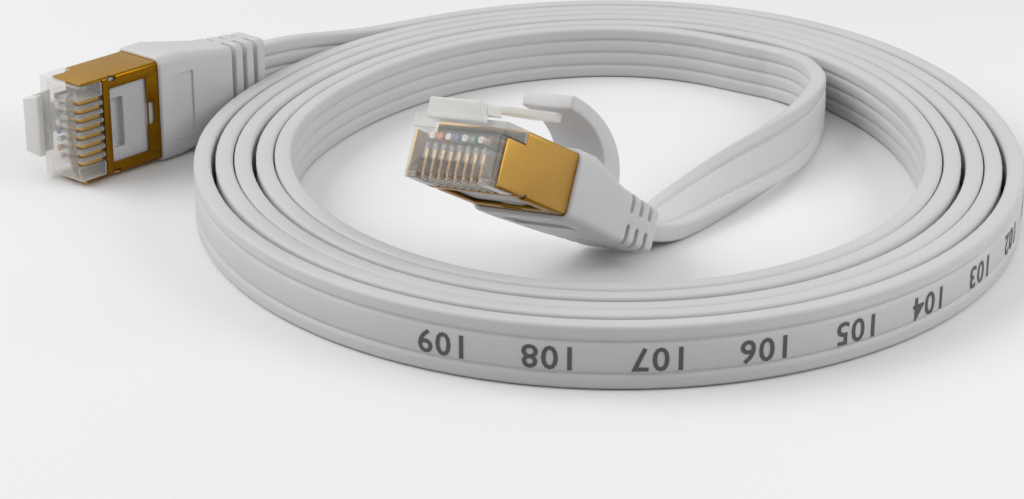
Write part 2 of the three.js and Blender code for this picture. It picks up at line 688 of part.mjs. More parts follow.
function makeCollar() {
  const front = shieldRear - COLLAR_FROM_SHIELD;
  const innerHalf = CABLE_WIDTH / 2 + FIT;
  const innerRise = CABLE_THICKNESS / 2 + FIT;
  const half = innerHalf + COLLAR_WALL;
  const rise = innerRise + COLLAR_WALL;
  return cut(
    block(front - COLLAR_LENGTH, front, -half, half, CABLE_HEIGHT - rise, CABLE_HEIGHT + rise),
    block(
      front - COLLAR_LENGTH - 1, front + 1, -innerHalf, innerHalf,
      CABLE_HEIGHT - innerRise, CABLE_HEIGHT + innerRise,
    ),
  );
}

// The jacket's end inside the boot, from behind the wires to the boot's rear face.
function makeCableEnd() {
  const along = new THREE.Vector3(-1, 0, 0);
  const wide = new THREE.Vector3(0, 1, 0);
  const front = housingRear - 2 * FIT - TOUCH;
  return skin([
    cableRing(new THREE.Vector3(front, 0, CABLE_HEIGHT), along, wide),
    cableRing(new THREE.Vector3(BOOT_REAR, 0, CABLE_HEIGHT), along, wide),
  ]);
}

// ---------- assembly ----------
function named(name, geometry, material) {
  const mesh = new THREE.Mesh(geometry, material);
  mesh.name = name;
  return mesh;
}

function fillPlug(plug, end) {
  plug.add(
    named("shield_" + end, makeShield(), goldLook),
    named("housing_" + end, makeHousing(), clearLook),
    named("latch_" + end, makeLatch(), clearLook),
    named("load_bar_" + end, makeLoadBar(), barLook),
    named("crimp_collar_" + end, makeCollar(), steelLook),
    named("cable_end_" + end, makeCableEnd(), jacketLook),
    named("boot_" + end, makeBoot(), bootLook),
    named("hood_" + end, makeHood(), bootLook),
  );
  for (let pin = 0; pin < PINS; pin++) {
    const [colourName, colour] = WIRE_COLOURS[pin % WIRE_COLOURS.length];
    const number = pin + 1;
    plug.add(
      named("contact_" + end + number, makeContact(pin), goldLook),
      named("wire_" + end + number + "_" + colourName, makeWire(pin), look(colour, 0.5)),
    );
  }
  return plug;
}

const plugs = new THREE.Group();
plugs.add(fillPlug(plugA, "a"), fillPlug(plugB, "b"));
const cable = new THREE.Group();
cable.add(
  plugs,
  named("cable_coil", makeCoil(), jacketLook),
  named("cable_lead_a", makeLeadA(), jacketLook),
  named("cable_lead_b", makeTail(), jacketLook),
);

// The origin is on the floor under the middle of the two plugs' box.
const footprint = new THREE.Box3().setFromObject(plugs, true);
const middle = footprint.getCenter(new THREE.Vector3());
cable.position.set(-middle.x, -middle.y, 0);

export default cable;
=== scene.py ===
"""A flat ethernet patch cable wound on edge, with two shielded modular plugs.

Lengths are in metres, +Z is up and the floor is at z = 0. Each plug is modelled in its
own frame, as in the CAD: +x is the mating direction with x = 0 at the shield's front
edge, y runs across the contacts and +z points to the latch side.
"""
import json
from math import cos, exp, pi, radians, sin

import bmesh
import bpy
from mathutils import Euler, Matrix, Vector
from mathutils.geometry import interpolate_bezier


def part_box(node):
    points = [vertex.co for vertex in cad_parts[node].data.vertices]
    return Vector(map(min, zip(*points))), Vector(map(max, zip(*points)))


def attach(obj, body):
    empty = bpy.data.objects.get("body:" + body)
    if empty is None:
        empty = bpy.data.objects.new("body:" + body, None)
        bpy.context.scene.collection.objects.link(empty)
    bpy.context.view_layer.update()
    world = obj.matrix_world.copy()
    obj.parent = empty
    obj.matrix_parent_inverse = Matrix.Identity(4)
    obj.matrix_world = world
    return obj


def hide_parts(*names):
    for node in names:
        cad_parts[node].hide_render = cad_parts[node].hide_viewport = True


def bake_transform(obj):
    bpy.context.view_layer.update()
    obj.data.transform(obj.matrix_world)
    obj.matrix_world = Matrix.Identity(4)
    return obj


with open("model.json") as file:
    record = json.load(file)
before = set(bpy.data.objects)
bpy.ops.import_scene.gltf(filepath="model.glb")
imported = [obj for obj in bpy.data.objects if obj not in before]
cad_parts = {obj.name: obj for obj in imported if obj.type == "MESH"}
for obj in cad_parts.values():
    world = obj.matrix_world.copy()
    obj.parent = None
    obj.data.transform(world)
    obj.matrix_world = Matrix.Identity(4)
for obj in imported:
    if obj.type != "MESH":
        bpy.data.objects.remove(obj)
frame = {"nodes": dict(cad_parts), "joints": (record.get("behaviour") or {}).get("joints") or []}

bl_info = {
    "name": "Flat Patch Cable",
    "version": (1, 0, 0),
    "blender": (4, 5, 0),
    "location": "View3D > Sidebar > Patch Cable",
    "description": "Builds a flat eight-wire patch cable with two shielded plugs",
    "category": "Object",
}

MM = 0.001
UP = Vector((0, 0, 1))

# ---------- where things lie, as in the CAD ----------
# Each plug's roll, pitch and yaw in degrees.
PLUG_TURN = {"a": (90, 0, 229.4), "b": (9, -30, 226.6)}
LOAD_BAR_MIDDLE = Vector((-5.0 * MM, 0, 4.45 * MM))  # in the plug's frame
PLUG_A_FROM_RING = Vector((-57.05 * MM, 0.85 * MM, 0))
PINS = 8
PIN_PITCH = 1.02 * MM

# The cable's jacket and its route, in the ring's frame.
CABLE_WIDTH = 6.4 * MM
CABLE_THICKNESS = 1.6 * MM  # of the CAD's line, which the route keeps to
COIL_HALF_WIDTH = 46.2 * MM
COIL_HALF_DEPTH = 53.3 * MM
COIL_LEAN = 3.2 * MM  # how far the back of the oval is pushed towards +x
COIL_DENT = 0.9 * MM  # how far plug A's boot presses the oval in
COIL_DENT_DEG = 152
COIL_DENT_SPREAD = 25  # degrees to each side
COIL_PITCH = 2.17 * MM
COIL_START_DEG = 120
COIL_END_DEG = 66
COIL_PEEL = 0.9 * MM  # how far the last turn has left its neighbour at its end
COIL_PEEL_DEG = 30
COIL_TURNS = 5 + (COIL_START_DEG - COIL_END_DEG) / 360
COIL_SETTLE = 0.11 * MM  # how far turns lean to and from their neighbours
COIL_LIFT = 0.12 * MM  # how far turns rise and sink
COIL_LIFT_RHYTHM = 4.4  # radians of that in each turn
COIL_FRONT = 0.583  # turns to where the first one passes the front
END_STRAIGHT = CABLE_WIDTH  # of the ring, before it bends
TOUCH = 0.3 * MM  # how far apart the CAD's lengths of cable meet
TAIL_CLEAR = 0.2 * MM  # under the tail, above the floor
CABLE_HEIGHT = 2.4 * MM  # the cable's middle above a plug's contact side
FINE = 0.01  # a small step in turns, radians or the modelling unit
MERGE = 1e-4  # distance at which doubles merge, in the modelling unit
MOSTLY = 0.7  # the share of an edge's length that gives its direction

# Plug B's tail: x and y in millimetres, and the width's angle above the floor.
TAIL_POINTS = [
    (25.0, 28.5, 90),
    (26.4, 22.2, 90),
    (25.2, 15.8, 86),
    (23.0, 9.6, 76),
    (19.9, 3.9, 60),
    (15.9, -1.3, 42),
    (11.7, -6.3, 24),
    (7.7, -11.1, 9),
    (5.2, -14.0, -3),
]

# Smoothness of the visible cable.
RINGS_PER_TURN = 108
LEAD_RINGS = 24
TAIL_RINGS = 110
VALLEY_STEPS = (-2.2, -1.2, -0.6, 0, 0.6, 1.2, 2.2)  # points over a valley, in half widths

# ---------- sizes of the plug's pieces ----------
BOOT_POCKET_END = -13.8 * MM
BOOT_SLOPE = -13.9 * MM  # x where the boot's slope begins
BOOT_SHOULDER = -20.6 * MM  # x where its grooved rear begins
BOOT_BEND = 0.5 * MM  # how far to each side the bends there shade softly
BOOT_SHOULDER_HALF = 5.1 * MM
BOOT_SHOULDER_RISE = (-0.35 * MM, 5.4 * MM)
BOOT_REAR_HALF = 4.55 * MM
BOOT_REAR_RISE = (0.0, 4.75 * MM)
GROOVES = 3
GROOVE_FIRST = -22.6 * MM  # x of the first groove's middle
GROOVE_PITCH = 1.8 * MM
GROOVE_WEB = 1.2 * MM
GROOVE_ROUNDNESS = 0.98  # just short of a full half circle
BORE_CORNER = 0.6 * MM
RECESS_LENGTH = 2.8 * MM  # the shallow recess in the contact side
RECESS_FRONT = -13.2 * MM
RECESS_WIDTH = 7.6 * MM
RECESS_DEPTH = 0.3 * MM
RECESS_CORNER = 0.3 * MM
FIT = 0.15 * MM  # clearance between pieces that slide into each other
SNUG = 0.03 * MM  # clearance between a soft piece and what it grips

STEP_LENGTH = 2.85 * MM  # the low front of the shield's side walls
STEP_HEIGHT = 4.9 * MM
COMB_LENGTH = 3.0 * MM  # open contact side behind the front edge
CROSS_STRIP = 0.9 * MM
WINDOW_LENGTH = 5.4 * MM
WINDOW_SIDE = 1.5 * MM
WINDOW_CORNER = 0.25 * MM
SHEET_EDGE = 0.05 * MM  # how far the sheet's cut edges are rounded
SHIELD_IN_BOOT = 2.4 * MM
SEAM_FROM_BOOT = 0.65 * MM
SEAM_LENGTH = 0.91 * MM
SEAM_WIDTH = 2.6 * MM
SEAM_CORNER = 0.15 * MM
NOTCH_RADIUS = 0.5 * MM
NOTCH_REACH = 0.7 * MM

SLOT_WIDTH = 0.62 * MM  # contact slots in the housing
SLOT_TOP = 3.7 * MM
SLOT_FRONT_TOP = 2.0 * MM  # of the openings in the nose's front wall
FRONT_WALL = 0.3 * MM
CRIMP_FROM_STRIP = 0.5 * MM
CRIMP_LENGTH = 1.6 * MM
CRIMP_WIDTH = 5.9 * MM
CRIMP_DEPTH = 0.8 * MM
WIRE_HEIGHT = 4.45 * MM
WIRE_FRONT = 0.1 * MM
CHANNEL_FRONT = 0.25 * MM
CHANNEL_HEIGHT = 1.1 * MM
CHANNEL_HALF = PINS / 2 * PIN_PITCH + 0.25 * MM
BAR_FRONT = -3.5 * MM
BAR_HEIGHT = 1.8 * MM
HOUSING_CORNER = 0.2 * MM

LATCH_ROOT_LENGTH = 2.9 * MM  # of its underside
LATCH_LEAN = 0.5 * MM
LATCH_FLOOR = 6.65 * MM
LATCH_LIP_BACK = 0.95 * MM  # x where its lip begins, which hangs before the nose
LATCH_ROOT_TOP = 6.3 * MM
LATCH_ROOT_HEIGHT = 1.15 * MM
LATCH_ROOT_LIFT = 0.3 * MM
LATCH_TAIL_WIDTH = 3.6 * MM
LATCH_TAIL_BOTTOM = 9.4 * MM
LATCH_KNEE = (-3.9 * MM, 8.2 * MM, 9.0 * MM)  # x, bottom and top
LATCH_OVERLAP = 0.5 * MM  # of the tail and the root
LATCH_EDGE = 0.2 * MM

HOOD_THICKNESS = 1.5 * MM
HOOD_CURVE_BACK = 4.2 * MM
HOOD_CURVE_TOP = 4.6 * MM
HOOD_CURVE_INNER = 3.2 * MM
HOOD_SINK = 0.45 * MM  # how far its root reaches down onto the boot
HOOD_STEPS = 20, 18  # along its outer and its inner line

# ---------- the printed numbers ----------
MARK_FIRST = 101
MARK_COUNT = 9
MARK_START = 0.372  # turns from the ring's start to the first number
MARK_STEP = 10 * MM
MARK_FILM = 0.012 * MM  # half the ink's thickness
CAPITAL = 0.7  # a capital's height as a share of the font's size
MARK_BOLDNESS = 0.012  # as shares of the font's size
MARK_SPACING = 1.1

# ---------- the insulated wires ----------
# Their colours. A white wire's stripe has the colour of its pair's plain wire.
WIRE_COLOURS = {
    "white_orange": "F3F0EC",
    "orange": "DE6C14",
    "white_green": "EEF3EE",
    "blue": "14499F",
    "white_blue": "EDF0F5",
    "green": "14813A",
    "white_brown": "ECE8E4",
    "brown": "6B4630",
}
INSULATION = 0.78  # its thickness as a share of a wire's radius
STRIPE_TILT = 0.9  # how far downwards a stripe's faces look

# ---------- the photographer's camera ----------
CAMERA_PLACE = Vector((19.78, -252.21, 98.04)) * MM
CAMERA_DOWN = 22  # degrees below the horizon
CAMERA_LENS = 87.89  # millimetres
CAMERA_SENSOR = 36.0

# ---------- floor and light ----------
FLOOR_HALF = 3.0
FLOOR_BOUNCE = 0.72  # the share of its light that the floor throws up
SKY_SIDE = (0.0, 0.35, 0.94)  # where the even light is brightest
SKY_EDGE = -0.4  # how far round from there it fades out
SKY_DIM = 0.4  # the strength on the opposite side, as a share
SOFTBOX_SIZE = (0.5, 0.4)
SOFTBOX_PLACE = Vector((-0.38, 0.04, 0.35))
FILL_PLACE = Vector((0.26, -0.06, 0.17))
FILL_SIZE = (0.2, 0.14)
LAMP_AIM = Vector((0.02, 0.0, 0.0))

WORK = 1000  # meshes are modelled in millimetres, where bevels and cuts are exact


# ---------- settings that a user would change ----------
def linear(hex_colour):
    """An sRGB hex colour as linear red, green, blue and alpha."""
    shares = [int(hex_colour[i : i + 2], 16) / 255 for i in (0, 2, 4)]
    light = [s / 12.92 if s <= 0.04045 else ((s + 0.055) / 1.055) ** 2.4 for s in shares]
    return (*light, 1.0)


def colour_setting(name, description, hex_colour):
    return bpy.props.FloatVectorProperty(
        name=name, description=description, subtype="COLOR", size=4,
        min=0, max=1, default=linear(hex_colour),
    )


def length_setting(name, description, default):
    return bpy.props.FloatProperty(
        name=name, description=description, unit="LENGTH", min=0, default=default,
        precision=5,
    )


def power_setting(name, description, default):
    return bpy.props.FloatProperty(
        name=name, description=description, unit="POWER", min=0, default=default
    )


class PATCHCABLE_PG_jacket(bpy.types.PropertyGroup):
    """The flat jacket"""

    thickness: length_setting("Thickness", "Over the lobes of the pairs", 1.86 * MM)
    edge: length_setting("Edge rounding", "Radius of the four long edges", 0.42 * MM)
    groove: length_setting("Groove depth", "Valleys between the wire pairs", 0.25 * MM)
    groove_spread: length_setting("Groove width", "Half width of a valley", 0.2 * MM)
    colour: colour_setting("Colour", "Matte PVC", "CFCFD0")
    mark_colour: colour_setting("Mark colour", "Printed numbers", "5C5D60")
    mark_height: length_setting("Mark height", "Of the printed numbers", 2.3 * MM)


class PATCHCABLE_PG_boot(bpy.types.PropertyGroup):
    """The moulded boot and hood"""

    rounding: length_setting("Rounding", "Radius of the boot's long edges", 1.1 * MM)
    groove_width: length_setting("Groove width", "Strain-relief grooves", 0.6 * MM)
    groove_depth: length_setting("Groove depth", "Strain-relief grooves", 0.95 * MM)
    softness: length_setting("Edge softness", "Radius of small edges", 0.15 * MM)
    rim: length_setting("Rim", "Radius of the front rim", 0.34 * MM)
    hood_softness: length_setting("Hood softness", "Radius of the hood's edges", 0.3 * MM)
    colour: colour_setting("Colour", "Satin moulded PVC", "D2D2D3")


class PATCHCABLE_PG_plug(bpy.types.PropertyGroup):
    """The metal and clear pieces of the plugs"""

    sheet: length_setting("Sheet thickness", "Of the shield", 0.25 * MM)
    bend: length_setting("Bend radius", "Outside radius of the shield's folds", 0.5 * MM)
    clear_edge: length_setting("Clear edge", "Rounding of clear mouldings", 0.1 * MM)
    gold: colour_setting("Gold", "Plating of shield and contacts", "CFA354")
    # painted shade: the contact side's plating is the same gold, coloured darker and deeper
    deep_gold: colour_setting("Shade-painted gold", "Contact side's gold, darkened as painted shade", "92660F")
    clear: colour_setting("Clear plastic", "Tint of housing and latch", "F4F3EF")


class PATCHCABLE_PG_stage(bpy.types.PropertyGroup):
    """Floor and lamps"""

    floor_colour: colour_setting("Floor", "Colour of the floor", "EDEDEE")
    sky: bpy.props.FloatProperty(
        name="Sky", description="Strength of the brightest side", min=0, default=0.63
    )
    softbox: power_setting("Softbox", "The main lamp, on the left", 1.75)
    fill: power_setting("Fill light", "The small lamp on the right", 0.29)


# ---------- places ----------
class Plug:
    """One plug: its letter and the matrix from its own frame to the shared one."""

    def __init__(self, end):
        self.end = end
        roll, pitch, yaw = (radians(turn) for turn in PLUG_TURN[end])
        turn = Euler((roll, pitch, yaw), "XYZ").to_matrix()
        low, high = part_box("load_bar_" + end)
        middle = (Vector(low) + Vector(high)) / 2
        place = middle - turn @ LOAD_BAR_MIDDLE
        self.matrix = Matrix.Translation(place) @ turn.to_4x4()

    def box(self, piece, node=None):
        """A CAD node's lowest and highest corner in the plug's own frame, to a micron."""
        inverse = self.matrix.inverted()
        mesh = frame["nodes"][node or piece + "_" + self.end].data
        spots = [inverse @ vertex.co for vertex in mesh.vertices]
        low = Vector([round(min(spot[i] for spot in spots), 6) for i in range(3)])
        high = Vector([round(max(spot[i] for spot in spots), 6) for i in range(3)])
        return low, high


PLUGS = {end: Plug(end) for end in "ab"}
RING = PLUGS["a"].matrix.translation - PLUG_A_FROM_RING
RING.z = 0
PIN_Y = [(pin - (PINS - 1) / 2) * PIN_PITCH for pin in range(PINS)]


def joint_place(plug, piece_name):
    """A flexing line's place in the plug's own frame."""
    child = piece_name + "_" + plug.end
    joint = next(j for j in frame["joints"] if j["child"] == child)
    return plug.matrix.inverted() @ Vector(joint["pos_m"])


# ---------- modelling helpers ----------
def box_between(low, high):
    """A box from its lowest to its highest corner."""
    low, high = Vector(low) * WORK, Vector(high) * WORK
    bm = bmesh.new()
    bmesh.ops.create_cube(bm, size=1)
    bmesh.ops.scale(bm, vec=high - low, verts=bm.verts)
    bmesh.ops.translate(bm, vec=(low + high) / 2, verts=bm.verts)
    return bm


def edges_along(bm, axis, where=None):
    """The edges that run mostly along an axis, of those whose middle passes a test."""
    found = []
    for edge in bm.edges:
        run = edge.verts[1].co - edge.verts[0].co
        middle = (edge.verts[0].co + edge.verts[1].co) / 2 / WORK
        if abs(run[axis]) > MOSTLY * run.length and (where is None or where(middle)):
            found.append(edge)
    return found


def cut_across(bm, *stations):
    """Adds an edge loop across x at each station."""
    for x in stations:
        bmesh.ops.bisect_plane(
            bm, geom=bm.verts[:] + bm.edges[:] + bm.faces[:],
            plane_co=(x * WORK, 0, 0), plane_no=(1, 0, 0),
        )
    return bm


def within(spot, low, high):
    """Whether a spot is in a box, or only just outside it."""
    return all(low[i] - SNUG < spot[i] < high[i] + SNUG for i in range(3))


def round_edges(bm, edges, radius, segments):
    """Rounds edges with the bevel operator."""
    bmesh.ops.bevel(
        bm, geom=edges, offset=radius * WORK, offset_type="OFFSET", segments=segments,
        profile=0.5, affect="EDGES", material=-1, clamp_overlap=False,
    )
    return bm


def rounded_box(low, high, axis, radius, segments=6):
    """A box whose four edges along one axis are rounded."""
    bm = box_between(low, high)
    return round_edges(bm, edges_along(bm, axis), radius, segments)


def rod(middle, turn_axis, radius, length, segments):
    """A round rod about its middle, laid down from z by a turn about an axis."""
    bm = bmesh.new()
    bmesh.ops.create_cone(
        bm, segments=segments, cap_ends=True, radius1=radius * WORK, radius2=radius * WORK,
        depth=length * WORK,
    )
    bmesh.ops.rotate(bm, matrix=Matrix.Rotation(pi / 2, 3, turn_axis), verts=bm.verts)
    bmesh.ops.translate(bm, vec=middle * WORK, verts=bm.verts)
    return bm


def together(*parts):
    """Several bmeshes as one."""
    whole = parts[0]
    for part in parts[1:]:
        mesh = bpy.data.meshes.new("part")
        part.to_mesh(mesh)
        part.free()
        whole.from_mesh(mesh)
        bpy.data.meshes.remove(mesh)
    return whole


def combine(bm, other, operation):
    """Two solids cut or joined with the exact boolean."""
    made = []
    for part in (bm, other):
        mesh = bpy.data.meshes.new("part")
        part.to_mesh(mesh)
        part.free()
        made.append(bpy.data.objects.new("part", mesh))
        bpy.context.scene.collection.objects.link(made[-1])
    body, tool = made
    change = body.modifiers.new("change", "BOOLEAN")
    change.operation = operation
    change.solver = "EXACT"
    change.object = tool
    result = bmesh.new()
    result.from_object(body, bpy.context.evaluated_depsgraph_get())
    for obj in made:
        mesh = obj.data
        bpy.data.objects.remove(obj)
        bpy.data.meshes.remove(mesh)
    bmesh.ops.remove_doubles(result, verts=result.verts, dist=MERGE)
    bmesh.ops.dissolve_limit(
        result, angle_limit=radians(0.2), verts=result.verts, edges=result.edges
    )
    return result


def carve(bm, *tools):
    """A solid with others cut out of it."""
    for tool in tools:
        bm = combine(bm, tool, "DIFFERENCE")
    return bm


def join(bm, *others):
    """Solids made one, without walls between them."""
    for other in others:
        bm = combine(bm, other, "UNION")
    return bm


def soften(bm, radius, segments=2, angle=40, where=None):
    """Rounds the edges sharper than an angle, of those whose middle passes a test."""
    sharp = [
        edge
        for edge in bm.edges
        if len(edge.link_faces) == 2
        and edge.calc_face_angle() > radians(angle)
        and (where is None or where((edge.verts[0].co + edge.verts[1].co) / 2 / WORK))
    ]
    return round_edges(bm, sharp, radius, segments)


def piece(name, bm, matrix, body, material, replaced, slot, smooth=35, scale=1 / WORK):
    """Finishes a bmesh as a named object in its place, riding on a body."""
    bmesh.ops.recalc_face_normals(bm, faces=bm.faces)
    mesh = bpy.data.meshes.new(name)
    bm.to_mesh(mesh)
    bm.free()
    mesh.transform(matrix @ Matrix.Scale(scale, 4))
    mesh.shade_smooth()
    mesh.set_sharp_from_angle(angle=radians(smooth))
    mesh.materials.append(material)
    obj = bpy.data.objects.new(name, mesh)
    bpy.context.scene.collection.objects.link(obj)
    if replaced:
        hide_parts(*replaced)
    if body:
        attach(obj, body)
    return obj


# ---------- the cable's route ----------
def oval_at(angle):
    """The ring's outermost line at an angle."""
    lean = max(0, sin(angle))
    off = angle / radians(1) - COIL_DENT_DEG
    off -= 360 * round(off / 360)
    dent = COIL_DENT * exp(-((off / COIL_DENT_SPREAD) ** 2))
    return Vector((
        (COIL_HALF_WIDTH - dent) * cos(angle) + COIL_LEAN * lean * lean,
        (COIL_HALF_DEPTH - dent) * sin(angle),
        0,
    ))


def coil_place(turns):
    """The wound cable's middle line after a number of turns."""
    angle = radians(COIL_START_DEG) - turns * 2 * pi
    heading = (oval_at(angle - FINE) - oval_at(angle + FINE)).normalized()
    inward = Vector((heading.y, -heading.x, 0))
    peeled = max(0, 1 - (COIL_TURNS - turns) * 360 / COIL_PEEL_DEG)
    drawn_in = COIL_PITCH * turns + COIL_PEEL * peeled * peeled
    drawn_in -= COIL_SETTLE * cos(pi * (turns - COIL_FRONT))
    place = oval_at(angle) + inward * (CABLE_THICKNESS / 2 + drawn_in)
    place.z = CABLE_WIDTH / 2 + COIL_LIFT * (0.5 + 0.5 * sin(COIL_LIFT_RHYTHM * turns))
    return place


def coil_at(turns):
    """The wound cable's middle line and its heading after a number of turns."""
    step = FINE / 10
    heading = (coil_place(turns + step) - coil_place(turns - step)).normalized()
    return coil_place(turns), heading


def exit_of(plug, beyond=TOUCH):
    """Where the cable leaves a boot, its heading there and its width's direction."""
    rear = plug.box("boot")[0].x
    turn = plug.matrix.to_3x3()
    place = plug.matrix @ Vector((rear - beyond, 0, CABLE_HEIGHT)) - RING
    return place, turn @ Vector((-1, 0, 0)), turn @ Vector((0, 1, 0))


def catmull_rom(points, per_span=40):
    """A centripetal Catmull-Rom curve as (place, spot), spot counting the points."""
    ends = [2 * points[0] - points[1]], [2 * points[-1] - points[-2]]
    knots = ends[0] + points + ends[1]
    line = []
    for i in range(len(points) - 1):
        before, start, end, after = knots[i : i + 4]
        gaps = [(q - p).length ** 0.5 for p, q in ((before, start), (start, end), (end, after))]
        leave = (start - before) / gaps[0] - (end - before) / (gaps[0] + gaps[1])
        leave = (leave + (end - start) / gaps[1]) * gaps[1]
        arrive = (end - start) / gaps[1] - (after - start) / (gaps[1] + gaps[2])
        arrive = (arrive + (after - end) / gaps[2]) * gaps[1]
        square = 3 * (end - start) - 2 * leave - arrive
        cube = 2 * (start - end) + leave + arrive
        for k in range(per_span):
            u = k / per_span
            line.append((start + leave * u + square * u**2 + cube * u**3, i + u))
    return line + [(points[-1], len(points) - 1)]


def evenly(line, steps):
    """A line of (place, spot) walked in equal steps of length."""
    walked = [0.0]
    for (p, _), (q, _) in zip(line, line[1:]):
        walked.append(walked[-1] + (q - p).length)
    spots, k = [], 0
    for i in range(steps + 1):
        wanted = walked[-1] * i / steps
        while k < len(line) - 2 and walked[k + 1] < wanted:
            k += 1
        share = (wanted - walked[k]) / (walked[k + 1] - walked[k])
        (p, a), (q, b) = line[k], line[k + 1]
        spots.append((p.lerp(q, share), a + (b - a) * share, (q - p).normalized()))
    return spots


def lead_stations():
    """Plug A's lead: on edge from the boot, sinking to the floor at the ring."""
    start, heading, _ = exit_of(PLUGS["a"], 0)
    ring_start, ring_heading = coil_at(0)
    end = ring_start - ring_heading * (END_STRAIGHT + TOUCH)
    reach = (end - start).length / 3
    curve = interpolate_bezier(
        start, start + heading * reach, end - ring_heading * reach, end, 4 * LEAD_RINGS
    )
    line = evenly([(place, 0) for place in curve], LEAD_RINGS)
    return [(place, along, UP) for place, _, along in line]


def coil_stations():
    """The wound turns, on edge, with a straight bit at both ends."""
    steps = round(COIL_TURNS * RINGS_PER_TURN)
    stations = []
    for i in range(steps + 1):
        place, heading = coil_at(COIL_TURNS * i / steps)
        stations.append((place, heading, UP))
    first, heading, _ = stations[0]
    last, last_heading, _ = stations[-1]
    stations.insert(0, (first - heading * END_STRAIGHT, heading, UP))
    stations.append((last + last_heading * END_STRAIGHT, last_heading, UP))
    return stations


def tail_stations():
    """Plug B's tail: on edge round the bend, then laid over flat towards the boot."""
    ring_end, heading = coil_at(COIL_TURNS)
    start = ring_end + heading * (END_STRAIGHT + TOUCH)
    end, end_heading, end_wide = exit_of(PLUGS["b"])
    points = [start, start + heading * CABLE_THICKNESS]
    tilts = [90, 90]
    for x, y, tilt in TAIL_POINTS:
        upright = abs(sin(radians(tilt)))
        reach = CABLE_WIDTH * upright + CABLE_THICKNESS * cos(radians(tilt))
        points.append(Vector((x * MM, y * MM, reach / 2 + TAIL_CLEAR)))
        tilts.append(tilt)
    points += [end + end_heading * CABLE_THICKNESS / 2, end]
    tilts += [-PLUG_TURN["b"][0]] * 2
    stations = []
    for place, spot, along in evenly(catmull_rom(points), TAIL_RINGS):
        k = min(int(spot), len(tilts) - 2)
        tilt = radians(tilts[k] + (tilts[k + 1] - tilts[k]) * (spot - k))
        side = Vector((along.y, -along.x, 0)).normalized()
        stations.append((place, along, side * cos(tilt) + UP * sin(tilt)))
    backwards = -end_heading
    stations[-1] = (end, backwards, -end_wide)
    stations.append((end + backwards * TOUCH, backwards, -end_wide))
    return stations


def jacket_section(jacket):
    """The section as (across, through), with valleys between the pairs on both faces:
    three on the inner face, and two beside the printed band on the outer one."""
    half = CABLE_WIDTH / 2
    rise = jacket.thickness / 2
    edge = jacket.edge
    spread = jacket.groove_spread

    def face(valleys, sign):
        spots = {-(half - edge), half - edge}
        for valley in valleys:
            spots |= {valley + step * spread for step in VALLEY_STEPS}
        crowns = sorted({-half + edge, *valleys, half - edge})
        spots |= {(a + b) / 2 for a, b in zip(crowns, crowns[1:])}
        points = []
        for across in sorted(spots, reverse=sign > 0):
            dips = sum(exp(-(((across - v) / spread) ** 2)) for v in valleys)
            points.append((across, sign * (rise - jacket.groove * dips)))
        return points

    def corner(across, through, start):
        turns = [radians(start + step) for step in range(15, 90, 15)]
        return [(across + edge * cos(t), through + edge * sin(t)) for t in turns]

    side = half - edge
    quarter = CABLE_WIDTH / 4
    return [
        *corner(side, rise - edge, 0),
        *face((-quarter, 0, quarter), 1),
        *corner(-side, rise - edge, 90),
        *corner(-side, edge - rise, 180),
        *face((-quarter, quarter), -1),
        *corner(side, edge - rise, 270),
    ]


# ---------- materials ----------
def add_node(tree, kind, settings=None, **sources):
    """Adds a shader node. Settings are its own or its inputs' values, and sources are
    links to its inputs, with _ for a blank and in_ before an input's number."""
    made = tree.nodes.new(kind)
    for name, value in (settings or {}).items():
        if isinstance(name, int) or name in made.inputs:
            made.inputs[name].default_value = value
        else:
            setattr(made, name, value)
    for name, source in sources.items():
        key = int(name[3:]) if name.startswith("in_") else name.replace("_", " ")
        tree.links.new(source, made.inputs[key])
    return made


def new_material(name, settings):
    """A material with one shader, and the tree and shader to build on."""
    material = bpy.data.materials.new(name)
    material.use_nodes = True
    tree = material.node_tree
    shader = tree.nodes["Principled BSDF"]
    for socket, value in settings.items():
        shader.inputs[socket].default_value = value
    return material, tree, shader


def grain(tree, shader, size, height, detail=3.0):
    """Fine surface grain of a real size, as bump."""
    place = add_node(tree, "ShaderNodeTexCoord")
    noise = add_node(
        tree, "ShaderNodeTexNoise",
        {"Scale": 1 / size, "Detail": detail, "Roughness": 0.6},
        Vector=place.outputs["Object"],
    )
    bump = add_node(
        tree, "ShaderNodeBump", {"Strength": 1.0, "Distance": height},
        Height=noise.outputs["Fac"],
    )
    tree.links.new(bump.outputs["Normal"], shader.inputs["Normal"])
    return place, noise


def shaded_colour(tree, shader, noise, dark, light, low=0.3, high=0.7):
    """Blotches of slightly different colour, as in a dyed plastic."""
    ramp = add_node(tree, "ShaderNodeValToRGB", Fac=noise.outputs["Fac"])
    ramp.color_ramp.elements[0].position = low
    ramp.color_ramp.elements[0].color = dark
    ramp.color_ramp.elements[1].position = high
    ramp.color_ramp.elements[1].color = light
    tree.links.new(ramp.outputs["Color"], shader.inputs["Base Color"])


def dimmed(colour, share):
    """A colour with a share of its light."""
    return (*(c * share for c in colour[:3]), 1.0)


def grained(name, settings, size, height, dark, light, low=0.3, high=0.7):
    """A material whose fine grain also shades its colour."""
    material, tree, shader = new_material(name, settings)
    _, noise = grain(tree, shader, size, height)
    shaded_colour(tree, shader, noise, dark, light, low, high)
    return material


def dyed_pvc(name, settings, size, height, colour, shade, blotch, detail):
    """A soft PVC with a fine grain, and its dye in blotches of a larger size."""
    material, tree, shader = new_material(name, settings)
    place, _ = grain(tree, shader, size, height)
    noise = add_node(
        tree, "ShaderNodeTexNoise", {"Scale": 1 / blotch, "Detail": detail},
        Vector=place.outputs["Object"],
    )
    shaded_colour(tree, shader, noise, dimmed(colour, shade), colour)
    return material


